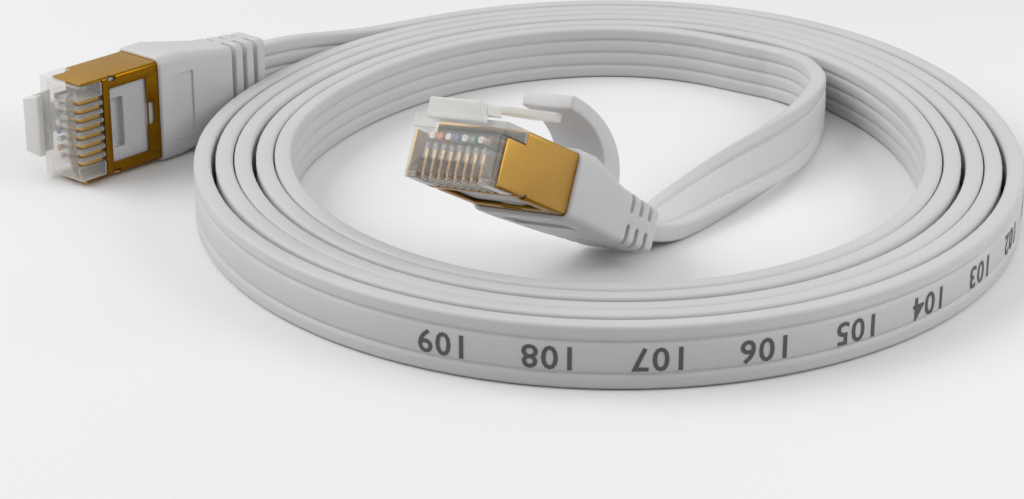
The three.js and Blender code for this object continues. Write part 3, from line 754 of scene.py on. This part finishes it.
def matte_pvc(colour):
    """Extruded PVC: a soft matte skin with a faint die grain, so it shades evenly and
    shows no clear reflection."""
    return dyed_pvc(
        "matte extruded PVC",
        {"Roughness": 0.52, "IOR": 1.53, "Specular IOR Level": 0.42, "Sheen Weight": 0.04},
        size=0.35 * MM, height=0.012 * MM, colour=colour, shade=0.965, blotch=9 * MM,
        detail=3.0,
    )


def moulded_pvc(colour):
    """Injection-moulded soft PVC: satin from a spark-eroded mould, a little glossier
    than the jacket."""
    return dyed_pvc(
        "satin moulded PVC", {"Roughness": 0.42, "IOR": 1.53, "Specular IOR Level": 0.45},
        size=0.22 * MM, height=0.008 * MM, colour=colour, shade=0.97, blotch=5 * MM,
        detail=2.0,
    )


def gold_plate(colour, gloss=(0.38, 0.5)):
    """Gold-plated phosphor bronze, stamped and rolled: a warm metal with soft, slightly
    uneven reflections. gloss is the least and the most roughness."""
    material, tree, shader = new_material("gold-plated bronze", {"Metallic": 1.0})
    _, noise = grain(tree, shader, size=0.5 * MM, height=0.004 * MM, detail=4.0)
    shaded_colour(tree, shader, noise, dimmed(colour, 0.93), colour, low=0.35, high=0.65)
    spread = add_node(
        tree, "ShaderNodeMapRange", {"To Min": gloss[0], "To Max": gloss[1]},
        Value=noise.outputs["Fac"],
    )
    tree.links.new(spread.outputs["Result"], shader.inputs["Roughness"])
    return material


def clear_polycarbonate(colour, roughness=0.08, cloud=(0.1, 0.86), bend=0.12):
    """Injection-moulded polycarbonate: a pale, glossy skin that lets the inside show
    where it is looked at squarely and turns bright and dense towards its edges, with
    faint flow waves. cloud is how dense it is seen squarely and edgewise, and bend the
    share of the light that goes through it as through glass."""
    material, tree, shader = new_material(
        "clear polycarbonate",
        {
            "Base Color": colour, "Roughness": roughness, "IOR": 1.585,
            "Transmission Weight": bend,
        },
    )
    grain(tree, shader, size=1.2 * MM, height=0.01 * MM, detail=2.0)
    facing = add_node(tree, "ShaderNodeLayerWeight", {"Blend": 0.35})
    density = add_node(
        tree, "ShaderNodeMapRange", {"To Min": cloud[0], "To Max": cloud[1]},
        Value=facing.outputs["Facing"],
    )
    tree.links.new(density.outputs["Result"], shader.inputs["Alpha"])
    return material


def frosted_plate():
    """The housing's spark-eroded underside, which shows in the shield's window: pale
    grey and frosted, so the wires behind it don't show."""
    return grained(
        "frosted polycarbonate", {"Roughness": 0.45, "IOR": 1.585},
        size=0.3 * MM, height=0.006 * MM, dark=linear("B6B6B8"), light=linear("C4C4C6"),
    )


def printing_ink(colour):
    """Dark grey printing ink, slightly worn, with the skin's own matte gloss."""
    return grained(
        "grey printing ink", {"Roughness": 0.55},
        size=0.2 * MM, height=0.004 * MM, dark=dimmed(colour, 0.75), light=colour,
        low=0.4, high=0.75,
    )


def milky_nylon():
    """Unfilled nylon: milky and softly glossy."""
    return grained(
        "milky nylon",
        {"Roughness": 0.38, "IOR": 1.53, "Subsurface Weight": 0.3, "Subsurface Scale": MM},
        size=0.4 * MM, height=0.006 * MM, dark=linear("D9DAD6"), light=linear("E6E7E4"),
    )


def tinned_steel():
    """Tinned steel strip: a cool, softly brushed metal."""
    return grained(
        "tinned steel strip", {"Metallic": 1.0, "Roughness": 0.34},
        size=0.3 * MM, height=0.005 * MM, dark=linear("A9A8A2"), light=linear("C4C2BC"),
    )


def wire_insulation(name, colour):
    """Solid polyethylene insulation: waxy, with a dull gloss."""
    return grained(
        "polyethylene insulation " + name, {"Roughness": 0.4, "IOR": 1.51},
        size=0.25 * MM, height=0.004 * MM, dark=dimmed(colour, 0.93), light=colour,
    )


def bare_copper():
    """Annealed copper wire, freshly cut: a bright reddish metal."""
    return grained(
        "bare copper", {"Metallic": 1.0, "Roughness": 0.3},
        size=0.15 * MM, height=0.004 * MM, dark=linear("B9704A"), light=linear("D08A62"),
    )


FINISHES = {}


def finish(name):
    """One of the part's finishes, made the first time it is asked for."""
    if name not in FINISHES:
        scene = bpy.context.scene
        clear = scene.plug_parts.clear
        # what makes each finish, its colour, and a clear one's roughness, cloud and bend
        recipes = {
            "jacket": (matte_pvc, scene.flat_jacket.colour),
            "ink": (printing_ink, scene.flat_jacket.mark_colour),
            "boot": (moulded_pvc, scene.plug_boot.colour),
            "gold": (gold_plate, scene.plug_parts.gold),
            # the contact side's gold: the same plating, darker and deeper as painted shade
            "gold with painted shade": (gold_plate, scene.plug_parts.deep_gold, (0.3, 0.36)),
            "clear": (clear_polycarbonate, clear),
            "inner": (clear_polycarbonate, clear, 0.08, (0.03, 0.16)),
            "frosted": (clear_polycarbonate, clear, 0.24, (0.66, 0.97), 0.1),
            "plate": (frosted_plate,),
            "nylon": (milky_nylon,),
            "steel": (tinned_steel,),
            "copper": (bare_copper,),
        }
        for colour, ground in WIRE_COLOURS.items():
            recipes["wire " + colour] = (wire_insulation, colour, linear(ground))
        make, *values = recipes[name]
        FINISHES[name] = make(*values)
    return FINISHES[name]


def dress(node, finish_name):
    """Gives a CAD node that is kept its finish."""
    node.data.materials.clear()
    node.data.materials.append(finish(finish_name))


# ---------- operators ----------
class PATCHCABLE_OT_camera(bpy.types.Operator):
    """Set the camera where the photograph was taken from"""

    bl_idname = "patch_cable.camera"
    bl_label = "Camera"

    def execute(self, context):
        data = bpy.data.cameras.new("product camera")
        data.sensor_width = CAMERA_SENSOR
        data.sensor_fit = "HORIZONTAL"
        data.lens = CAMERA_LENS
        data.clip_start = 0.01
        camera = bpy.data.objects.new("product camera", data)
        camera.location = CAMERA_PLACE
        camera.rotation_euler = (radians(90 - CAMERA_DOWN), 0, 0)
        context.scene.collection.objects.link(camera)
        context.scene.camera = camera
        return {"FINISHED"}


class PATCHCABLE_OT_jacket(bpy.types.Operator):
    """Sweep the flat jacket along its route, from boot to boot"""

    bl_idname = "patch_cable.jacket"
    bl_label = "Flat cable"

    def execute(self, context):
        section = jacket_section(context.scene.flat_jacket)
        stations = lead_stations() + coil_stations() + tail_stations()
        bm = bmesh.new()
        rings = []
        for place, heading, wide in stations:
            across = (wide - heading * wide.dot(heading)).normalized()
            through = heading.cross(across)
            ring = [
                bm.verts.new(RING + place + across * a + through * t) for a, t in section
            ]
            for pair in zip(ring, ring[1:] + ring[:1]):
                bm.edges.new(pair)
            rings.append(ring)
        for ring, after in zip(rings, rings[1:]):
            for i in range(len(ring)):
                j = (i + 1) % len(ring)
                bm.faces.new((ring[i], ring[j], after[j], after[i]))
        bm.faces.new(rings[0])
        bm.faces.new(list(reversed(rings[-1])))
        cable = piece(
            "flat_cable_jacket", bm, Matrix.Identity(4), "cable", finish("jacket"),
            ("cable_coil", "cable_lead_a", "cable_lead_b"), "jacket", smooth=40, scale=1,
        )
        return {"FINISHED"}


def number_bmesh(number, height):
    """A number as a thin closed sheet, centred on its own origin."""
    text = bpy.data.curves.new("number", "FONT")
    text.body = str(number)
    text.align_x = "CENTER"
    text.align_y = "CENTER"
    text.resolution_u = 3
    text.size = height / CAPITAL * WORK
    text.offset = MARK_BOLDNESS * text.size
    text.extrude = MARK_FILM * WORK
    text.space_character = MARK_SPACING
    obj = bpy.data.objects.new("number", text)
    bpy.context.scene.collection.objects.link(obj)
    bpy.context.view_layer.update()
    mesh = bpy.data.meshes.new_from_object(
        obj.evaluated_get(bpy.context.evaluated_depsgraph_get())
    )
    bm = bmesh.new()
    bm.from_mesh(mesh)
    bmesh.ops.remove_doubles(bm, verts=bm.verts, dist=MERGE)
    bpy.data.objects.remove(obj)
    bpy.data.curves.remove(text)
    bpy.data.meshes.remove(mesh)
    return bm


class PATCHCABLE_OT_marks(bpy.types.Operator):
    """Print plain running numbers on the outermost turn, upside down as they lie"""

    bl_idname = "patch_cable.marks"
    bl_label = "Printed numbers"

    def execute(self, context):
        jacket = context.scene.flat_jacket
        numbers = []
        turns = MARK_START
        for i in range(MARK_COUNT):
            per_turn = (coil_place(turns + FINE) - coil_place(turns - FINE)).length / (2 * FINE)
            bm = number_bmesh(MARK_FIRST + i, jacket.mark_height)
            for vert in bm.verts:
                along, up, out = vert.co / WORK
                place, heading = coil_at(turns + along / per_turn)
                outward = Vector((-heading.y, heading.x, 0))
                skin = jacket.thickness / 2 + MARK_FILM * 2 + out
                vert.co = RING + place + outward * skin - UP * up
            numbers.append(bm)
            turns += MARK_STEP / per_turn
        piece(
            "printed_numbers", together(*numbers), Matrix.Identity(4), "cable",
            finish("ink"), (), "jacket", scale=1,
        )
        return {"FINISHED"}


def boot_form(plug, inset=0.0):
    """The boot's outside: a straight front, a slope and a tapered rear."""
    boot = bpy.context.scene.plug_boot
    low, high = plug.box("boot")
    skin = Vector((0, inset, inset))
    rounding = max(boot.rounding - inset, boot.softness)
    bm = rounded_box(low + skin, high - skin, 0, rounding, segments=8)
    cut_across(bm, BOOT_SLOPE, BOOT_SHOULDER)
    for x, half, (bottom, top) in (
        (BOOT_SHOULDER, BOOT_SHOULDER_HALF, BOOT_SHOULDER_RISE),
        (low.x, BOOT_REAR_HALF, BOOT_REAR_RISE),
    ):
        narrow = (half - inset) / (high.y - inset)
        flat = (top - bottom - 2 * inset) / (high.z - low.z - 2 * inset)
        for vert in bm.verts:
            if abs(vert.co.x - x * WORK) < FINE:
                vert.co.y *= narrow
                vert.co.z = (bottom + inset + (vert.co.z / WORK - low.z - inset) * flat) * WORK
    bends = (BOOT_SLOPE, BOOT_SHOULDER)
    cut_across(bm, *(x + side * BOOT_BEND for x in bends for side in (-1, 1)))
    if not inset:
        bm = soften(bm, boot.rim, 4, 60, lambda spot: spot.x > high.x - SNUG)
        bm = soften(bm, boot.softness, 3, 60, lambda spot: spot.x < low.x + SNUG)
    return bm


def boot_section_at(x, low):
    """The tapered rear's half width, bottom and top at x."""
    share = (BOOT_SHOULDER - x) / (BOOT_SHOULDER - low.x)
    front = BOOT_SHOULDER_HALF, *BOOT_SHOULDER_RISE
    rear = BOOT_REAR_HALF, *BOOT_REAR_RISE
    return [a + (b - a) * share for a, b in zip(front, rear)]


def boot_back_at(plug, x):
    """The height of the boot's back at x, behind its shoulder."""
    return boot_section_at(x, plug.box("boot")[0])[2]


def groove_bars(plug):
    """Bars with round ends that stand for the grooves, above and below the web."""
    boot = bpy.context.scene.plug_boot
    low, high = plug.box("boot")
    wide = high.y + MM
    radius = boot.groove_width / 2 * GROOVE_ROUNDNESS
    bars = []
    for i in range(GROOVES):
        x = GROOVE_FIRST - i * GROOVE_PITCH
        _, bottom, top = boot_section_at(x, low)
        middle = (bottom + top) / 2
        x0, x1 = x - boot.groove_width / 2, x + boot.groove_width / 2
        for z0, z1, end in (
            (middle + GROOVE_WEB / 2, high.z + MM, middle + GROOVE_WEB / 2),
            (low.z - MM, middle - GROOVE_WEB / 2, middle - GROOVE_WEB / 2),
        ):
            bar = box_between((x0, -wide, z0), (x1, wide, z1))
            ends = edges_along(bar, 1, lambda spot: abs(spot.z - end) < FINE * MM)
            bars.append(round_edges(bar, ends, radius, 5))
    return together(*bars)


def room_for(plug, piece_name, back, front, gap, corner=None):
    """A tunnel along x with room for a piece, and a gap all round it."""
    low, high = plug.box(piece_name)
    room = box_between(
        (back, low.y - gap, low.z - gap), (front, high.y + gap, high.z + gap)
    )
    return round_edges(room, edges_along(room, 0), corner, 6) if corner else room


def groove_near(x):
    """Whether x lies on a groove's edge or floor."""
    half = bpy.context.scene.plug_boot.groove_width / 2 + FINE * MM
    return any(abs(x - GROOVE_FIRST + i * GROOVE_PITCH) < half for i in range(GROOVES))


class PATCHCABLE_OT_boots(bpy.types.Operator):
    """Mould the boots, with their strain-relief grooves and shallow recess"""

    bl_idname = "patch_cable.boots"
    bl_label = "Boots"

    def execute(self, context):
        boot = context.scene.plug_boot
        for end, plug in PLUGS.items():
            low, high = plug.box("boot")
            collar_back = plug.box("crimp_collar")[0].x - FIT
            grooves = combine(
                groove_bars(plug), boot_form(plug, boot.groove_depth), "DIFFERENCE"
            )
            pocket = room_for(
                plug, "shield", BOOT_POCKET_END, high.x + MM, SNUG,
                context.scene.plug_parts.bend,
            )
            collar_room = room_for(plug, "crimp_collar", collar_back, high.x, FIT)
            bore = room_for(plug, "cable_end", low.x - MM, high.x, FIT, BORE_CORNER)
            recess = rounded_box(
                (RECESS_FRONT - RECESS_LENGTH, -RECESS_WIDTH / 2, low.z - MM),
                (RECESS_FRONT, RECESS_WIDTH / 2, low.z + RECESS_DEPTH),
                2, RECESS_CORNER,
            )
            bm = carve(boot_form(plug), grooves, recess, pocket, collar_room, bore)
            bm = soften(bm, boot.softness, 3, 40, lambda spot: groove_near(spot.x))
            piece(
                "moulded_boot_" + end, bm, plug.matrix, "cable", finish("boot"),
                ("boot_" + end,), "boot",
            )
        return {"FINISHED"}


class PATCHCABLE_OT_hoods(bpy.types.Operator):
    """Mould the arched snag hoods over the latch tails"""

    bl_idname = "patch_cable.hoods"
    bl_label = "Snag hoods"

    def execute(self, context):
        softness = context.scene.plug_boot.hood_softness
        for end, plug in PLUGS.items():
            low, high = plug.box("hood")
            hinge = joint_place(plug, "hood")
            foot = boot_back_at(plug, low.x)
            lip = high.z - HOOD_THICKNESS
            outer = (
                (low.x, foot - HOOD_SINK), (low.x, foot + HOOD_CURVE_BACK),
                (low.x + HOOD_CURVE_TOP, high.z), (high.x, high.z),
            )
            inner = (
                (high.x, lip), (high.x - HOOD_CURVE_INNER, lip),
                (hinge.x, hinge.z + HOOD_CURVE_INNER), (hinge.x, hinge.z - HOOD_SINK),
            )
            bm = bmesh.new()
            outline = []
            for curve, steps in zip((outer, inner), HOOD_STEPS):
                knots = [Vector((x, low.y, z)) for x, z in curve]
                for spot in interpolate_bezier(*knots, steps):
                    outline.append(bm.verts.new(spot * WORK))
            bm.faces.new(outline)
            grown = bmesh.ops.extrude_face_region(bm, geom=bm.faces[:])
            moved = [item for item in grown["geom"] if isinstance(item, bmesh.types.BMVert)]
            bmesh.ops.translate(bm, vec=(0, (high.y - low.y) * WORK, 0), verts=moved)
            bmesh.ops.recalc_face_normals(bm, faces=bm.faces)
            bm = soften(bm, softness, segments=4)
            hood = piece(
                "snag_hood_" + end, bm, plug.matrix, None, finish("boot"),
                ("hood_" + end,), "boot",
            )
            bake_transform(hood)
        return {"FINISHED"}


class PATCHCABLE_OT_shields(bpy.types.Operator):
    """Fold the gold shields from thin sheet"""

    bl_idname = "patch_cable.shields"
    bl_label = "Shields"

    def execute(self, context):
        parts = context.scene.plug_parts
        for end, plug in PLUGS.items():
            low, high = plug.box("shield")
            sheet = Vector((0, parts.sheet, parts.sheet))
            past = Vector((MM, 0, 0))
            sleeve = carve(
                rounded_box(low, high, 0, parts.bend),
                rounded_box(low + sheet - past, high - sheet + past, 0, parts.bend - parts.sheet),
            )
            under, over = low.z - MM, low.z + parts.sheet + FIT
            inner = high.y - parts.sheet
            window_front = -(COMB_LENGTH + CROSS_STRIP)
            window_half = high.y - WINDOW_SIDE
            step = box_between(
                (-STEP_LENGTH, low.y - MM, STEP_HEIGHT), (MM, high.y + MM, high.z + MM)
            )
            comb = box_between((-COMB_LENGTH, -inner, under), (MM, inner, over))
            window = rounded_box(
                (window_front - WINDOW_LENGTH, -window_half, under),
                (window_front, window_half, over), 2, WINDOW_CORNER,
            )
            seam_rear = low.x + SHIELD_IN_BOOT + SEAM_FROM_BOOT
            seam = rounded_box(
                (seam_rear, -SEAM_WIDTH / 2, under),
                (seam_rear + SEAM_LENGTH, SEAM_WIDTH / 2, over), 2, SEAM_CORNER, 3,
            )
            notches = together(*(
                rod(
                    Vector((window_front - NOTCH_RADIUS, side * high.y, low.z)), "X",
                    NOTCH_RADIUS, 2 * NOTCH_REACH, 20,
                )
                for side in (-1, 1)
            ))
            bm = carve(sleeve, step, comb, window, seam, notches)
            bm = soften(bm, SHEET_EDGE, segments=2, angle=50)
            # the faces on the contact side take the darker gold, whose darkness is painted shade
            for face in bm.faces:
                face.material_index = int(face.calc_center_median().z < parts.sheet * WORK)
            shield = piece(
                "gold_shield_" + end, bm, plug.matrix, "cable", finish("gold"),
                ("shield_" + end,), "shield", smooth=25,
            )
            # the darker gold of painted shade, for the contact side
            shield.data.materials.append(finish("gold with painted shade"))
        return {"FINISHED"}


class PATCHCABLE_OT_housings(bpy.types.Operator):
    """Mould the clear housings, with their contact comb and wire channel"""

    bl_idname = "patch_cable.housings"
    bl_label = "Clear housings"

    def execute(self, context):
        parts = context.scene.plug_parts
        for end, plug in PLUGS.items():
            low, high = plug.box("housing")
            shield_low, shield_high = plug.box("shield")
            skin = parts.sheet + FIT
            body_low = Vector((low.x, low.y + skin, shield_low.z + skin))
            body_high = Vector((high.x, high.y - skin, shield_high.z - skin))
            comb_back = -COMB_LENGTH + FIT
            body = join(
                rounded_box(body_low, body_high, 0, HOUSING_CORNER, 3),
                box_between(
                    (comb_back, body_low.y, low.z), (high.x, body_high.y, body_low.z + FIT)
                ),
                box_between(
                    (-STEP_LENGTH + FIT, low.y, STEP_HEIGHT + FIT), (high.x, high.y, high.z)
                ),
            )
            slots, openings = (
                together(*(
                    box_between(
                        (comb_back - 2 * FIT, y - SLOT_WIDTH / 2, low.z - MM),
                        (front, y + SLOT_WIDTH / 2, top),
                    )
                    for y in PIN_Y
                ))
                for front, top in (
                    (high.x - FRONT_WALL, SLOT_TOP), (high.x + MM, SLOT_FRONT_TOP)
                )
            )
            channel_floor = WIRE_HEIGHT - CHANNEL_HEIGHT / 2
            channel = box_between(
                (low.x - MM, -CHANNEL_HALF, channel_floor),
                (WIRE_FRONT + CHANNEL_FRONT, CHANNEL_HALF, channel_floor + CHANNEL_HEIGHT),
            )
            rise = BAR_HEIGHT / 2 + FIT
            channel_end = (WIRE_FRONT + CHANNEL_FRONT, CHANNEL_HALF, WIRE_HEIGHT + rise)
            bay = box_between(
                (low.x - MM, -CHANNEL_HALF, WIRE_HEIGHT - rise),
                (BAR_FRONT + FIT, CHANNEL_HALF, WIRE_HEIGHT + rise),
            )
            crimp_front = -(COMB_LENGTH + CROSS_STRIP + CRIMP_FROM_STRIP)
            crimp = rounded_box(
                (crimp_front - CRIMP_LENGTH, -CRIMP_WIDTH / 2, low.z - MM),
                (crimp_front, CRIMP_WIDTH / 2, body_low.z + CRIMP_DEPTH), 2, HOUSING_CORNER, 3,
            )
            bm = carve(body, slots, openings, channel, bay, crimp)
            bm = soften(bm, parts.clear_edge, segments=2, angle=50)
            for face in bm.faces:
                spot = face.calc_center_median() / WORK
                if spot.x < comb_back and spot.z < body_low.z + CRIMP_DEPTH + FIT:
                    face.material_index = 1
                elif within(spot, (low.x, -CHANNEL_HALF, WIRE_HEIGHT - rise), channel_end):
                    face.material_index = 2
            housing = piece(
                "clear_housing_" + end, bm, plug.matrix, "cable", finish("clear"),
                ("housing_" + end,), "clear_moulding", smooth=10,
            )
            housing.data.materials.append(finish("plate"))
            housing.data.materials.append(finish("inner"))
        return {"FINISHED"}


class PATCHCABLE_OT_latches(bpy.types.Operator):
    """Mould the clear latch levers"""

    bl_idname = "patch_cable.latches"
    bl_label = "Latches"

    def execute(self, context):
        for end, plug in PLUGS.items():
            low, high = plug.box("latch")
            back = high.x - LATCH_LEAN - LATCH_ROOT_LENGTH
            roof = LATCH_FLOOR + LATCH_ROOT_HEIGHT
            root = box_between(
                (back, low.y, LATCH_FLOOR), (LATCH_LIP_BACK + FIT, high.y, roof)
            )
            lip = box_between((LATCH_LIP_BACK, low.y, low.z), (high.x, high.y, roof))
            for part in (root, lip):
                for vert in part.verts:
                    if vert.co.z > (roof - FIT) * WORK:
                        vert.co.y *= LATCH_ROOT_TOP / (high.y - low.y)
                    elif vert.co.x < (back + MM) * WORK:
                        vert.co.z += LATCH_ROOT_LIFT * WORK
                    elif vert.co.x > (high.x - FIT) * WORK:
                        vert.co.x -= LATCH_LEAN * WORK
            root = soften(root, LATCH_EDGE, 4, 40, lambda spot: spot.x < LATCH_LIP_BACK)
            lip = soften(lip, LATCH_EDGE, 4, 40, lambda spot: spot.x > LATCH_LIP_BACK + FIT)
            start = back + LATCH_OVERLAP
            half = LATCH_TAIL_WIDTH / 2
            tail = box_between((low.x, -half, LATCH_TAIL_BOTTOM), (start, half, high.z))
            cut_across(tail, LATCH_KNEE[0])
            rises = {
                LATCH_KNEE[0]: LATCH_KNEE[1:],
                start: (LATCH_FLOOR + LATCH_ROOT_LIFT + FIT, roof - FIT),
            }
            for vert in tail.verts:
                upper = vert.co.z > (LATCH_TAIL_BOTTOM + high.z) / 2 * WORK
                for x, (bottom, top) in rises.items():
                    if abs(vert.co.x - x * WORK) < FINE:
                        vert.co.z = (top if upper else bottom) * WORK
            tail = soften(tail, LATCH_EDGE, segments=4, angle=40)
            piece(
                "clear_latch_" + end, join(root, lip, tail), plug.matrix, "latch_" + end,
                finish("frosted"), ("latch_" + end,), "clear_moulding", smooth=25,
            )
        return {"FINISHED"}


class PATCHCABLE_OT_wires(bpy.types.Operator):
    """Lay the eight insulated wires of each plug, with their bare ends"""

    bl_idname = "patch_cable.wires"
    bl_label = "Wires"

    def execute(self, context):
        for end, plug in PLUGS.items():
            for number, name in enumerate(WIRE_COLOURS, 1):
                node = "wire_%s%d_%s" % (end, number, name)
                low, high = plug.box("wire", node)
                radius = (high.z - low.z) / 2
                bm = rod((low + high) / 2, "Y", radius, high.x - low.x, 24)
                caps = [face for face in bm.faces if len(face.verts) > 4]
                bmesh.ops.inset_region(bm, faces=caps, thickness=radius * INSULATION * WORK)
                striped = name.startswith("white_")
                for face in bm.faces:
                    if len(face.verts) > 4:
                        face.material_index = 1
                    elif striped and face.normal.z < -STRIPE_TILT:
                        face.material_index = 2
                wire = piece(
                    "insulated_wire_%s%d" % (end, number), bm, plug.matrix, "cable",
                    finish("wire " + name), (node,), "insulation_" + name,
                )
                wire.data.materials.append(finish("copper"))
                if striped:
                    plain = name.replace("white_", "")
                    wire.data.materials.append(finish("wire " + plain))
        return {"FINISHED"}


class PATCHCABLE_OT_fittings(bpy.types.Operator):
    """Give the small CAD fittings inside the plugs their finishes"""

    bl_idname = "patch_cable.fittings"
    bl_label = "Small fittings"

    def execute(self, context):
        nodes = frame["nodes"]
        for end in PLUGS:
            for number in range(1, PINS + 1):
                dress(nodes["contact_%s%d" % (end, number)], "gold")
            dress(nodes["load_bar_" + end], "nylon")
            dress(nodes["crimp_collar_" + end], "steel")
            dress(nodes["cable_end_" + end], "jacket")
        return {"FINISHED"}


class PATCHCABLE_OT_stage(bpy.types.Operator):
    """Set the pale floor and the soft studio light"""

    bl_idname = "patch_cable.stage"
    bl_label = "Floor and light"

    def execute(self, context):
        stage = context.scene.cable_stage
        bm = bmesh.new()
        bmesh.ops.create_grid(bm, x_segments=1, y_segments=1, size=FLOOR_HALF)
        mesh = bpy.data.meshes.new("studio_floor")
        bm.to_mesh(mesh)
        bm.free()
        floor = bpy.data.objects.new("studio_floor", mesh)
        context.scene.collection.objects.link(floor)
        paint, tree, shader = new_material("matte backdrop paper", {"Roughness": 0.8})
        ray = add_node(tree, "ShaderNodeLightPath").outputs
        seen = ray["Is Camera Ray"]
        for other in ("Is Glossy Ray", "Is Transmission Ray"):
            seen = add_node(
                tree, "ShaderNodeMath", {"operation": "MAXIMUM"}, in_0=seen, in_1=ray[other]
            ).outputs["Value"]
        # it throws a little less light up at the cable than its paleness would
        pale = add_node(
            tree, "ShaderNodeMix",
            {
                "data_type": "RGBA", 6: dimmed(stage.floor_colour, FLOOR_BOUNCE),
                7: stage.floor_colour,
            },
            in_0=seen,
        )
        tree.links.new(pale.outputs[2], shader.inputs["Base Color"])
        grain(tree, shader, size=0.8 * MM, height=0.003 * MM)
        mesh.materials.append(paint)

        world = bpy.data.worlds.new("even studio light")
        world.use_nodes = True
        tree = world.node_tree
        background = tree.nodes["Background"]
        background.inputs["Color"].default_value = linear("FFFFFF")
        place = add_node(tree, "ShaderNodeTexCoord")
        side = add_node(
            tree, "ShaderNodeVectorMath", {"operation": "DOT_PRODUCT", 1: SKY_SIDE},
            in_0=place.outputs["Generated"],
        )
        strength = add_node(
            tree, "ShaderNodeMapRange",
            {"From Min": SKY_EDGE, "To Min": stage.sky * SKY_DIM, "To Max": stage.sky},
            Value=side.outputs["Value"],
        )
        tree.links.new(strength.outputs["Result"], background.inputs["Strength"])
        context.scene.world = world

        for name, power, place, size in (
            ("softbox", stage.softbox, SOFTBOX_PLACE, SOFTBOX_SIZE),
            ("fill light", stage.fill, FILL_PLACE, FILL_SIZE),
        ):
            lamp = bpy.data.lights.new(name, "AREA")
            lamp.shape = "RECTANGLE"
            lamp.size, lamp.size_y = size
            lamp.energy = power
            light = bpy.data.objects.new(name, lamp)
            light.location = place
            towards = LAMP_AIM - place
            light.rotation_euler = towards.to_track_quat("-Z", "Y").to_euler()
            context.scene.collection.objects.link(light)
        context.scene.view_settings.view_transform = "Standard"
        return {"FINISHED"}


STEPS = (
    PATCHCABLE_OT_camera,
    PATCHCABLE_OT_jacket,
    PATCHCABLE_OT_marks,
    PATCHCABLE_OT_boots,
    PATCHCABLE_OT_hoods,
    PATCHCABLE_OT_shields,
    PATCHCABLE_OT_housings,
    PATCHCABLE_OT_latches,
    PATCHCABLE_OT_wires,
    PATCHCABLE_OT_fittings,
    PATCHCABLE_OT_stage,
)


class PATCHCABLE_PT_panel(bpy.types.Panel):
    """The steps that build the cable, in order"""

    bl_idname = "PATCHCABLE_PT_panel"
    bl_label = "Patch Cable"
    bl_space_type = "VIEW_3D"
    bl_region_type = "UI"
    bl_category = "Patch Cable"

    def draw(self, context):
        for step in STEPS:
            self.layout.operator(step.bl_idname)
        for group in SETTINGS:
            settings = getattr(context.scene, group)
            for name in settings.__annotations__:
                self.layout.prop(settings, name)


SETTINGS = {
    "flat_jacket": PATCHCABLE_PG_jacket,
    "plug_boot": PATCHCABLE_PG_boot,
    "plug_parts": PATCHCABLE_PG_plug,
    "cable_stage": PATCHCABLE_PG_stage,
}
CLASSES = (*SETTINGS.values(), *STEPS, PATCHCABLE_PT_panel)


def register():
    for cls in CLASSES:
        bpy.utils.register_class(cls)
    for name, group in SETTINGS.items():
        setattr(bpy.types.Scene, name, bpy.props.PointerProperty(type=group))


def unregister():
    for name in SETTINGS:
        delattr(bpy.types.Scene, name)
    for cls in reversed(CLASSES):
        bpy.utils.unregister_class(cls)


def main():
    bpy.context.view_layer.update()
    register()
    bpy.ops.patch_cable.camera()
    bpy.ops.patch_cable.jacket()
    bpy.ops.patch_cable.marks()
    bpy.ops.patch_cable.boots()
    bpy.ops.patch_cable.hoods()
    bpy.ops.patch_cable.shields()
    bpy.ops.patch_cable.housings()
    bpy.ops.patch_cable.latches()
    bpy.ops.patch_cable.wires()
    bpy.ops.patch_cable.fittings()
    bpy.ops.patch_cable.stage()


if __name__ == "__main__":
    main()
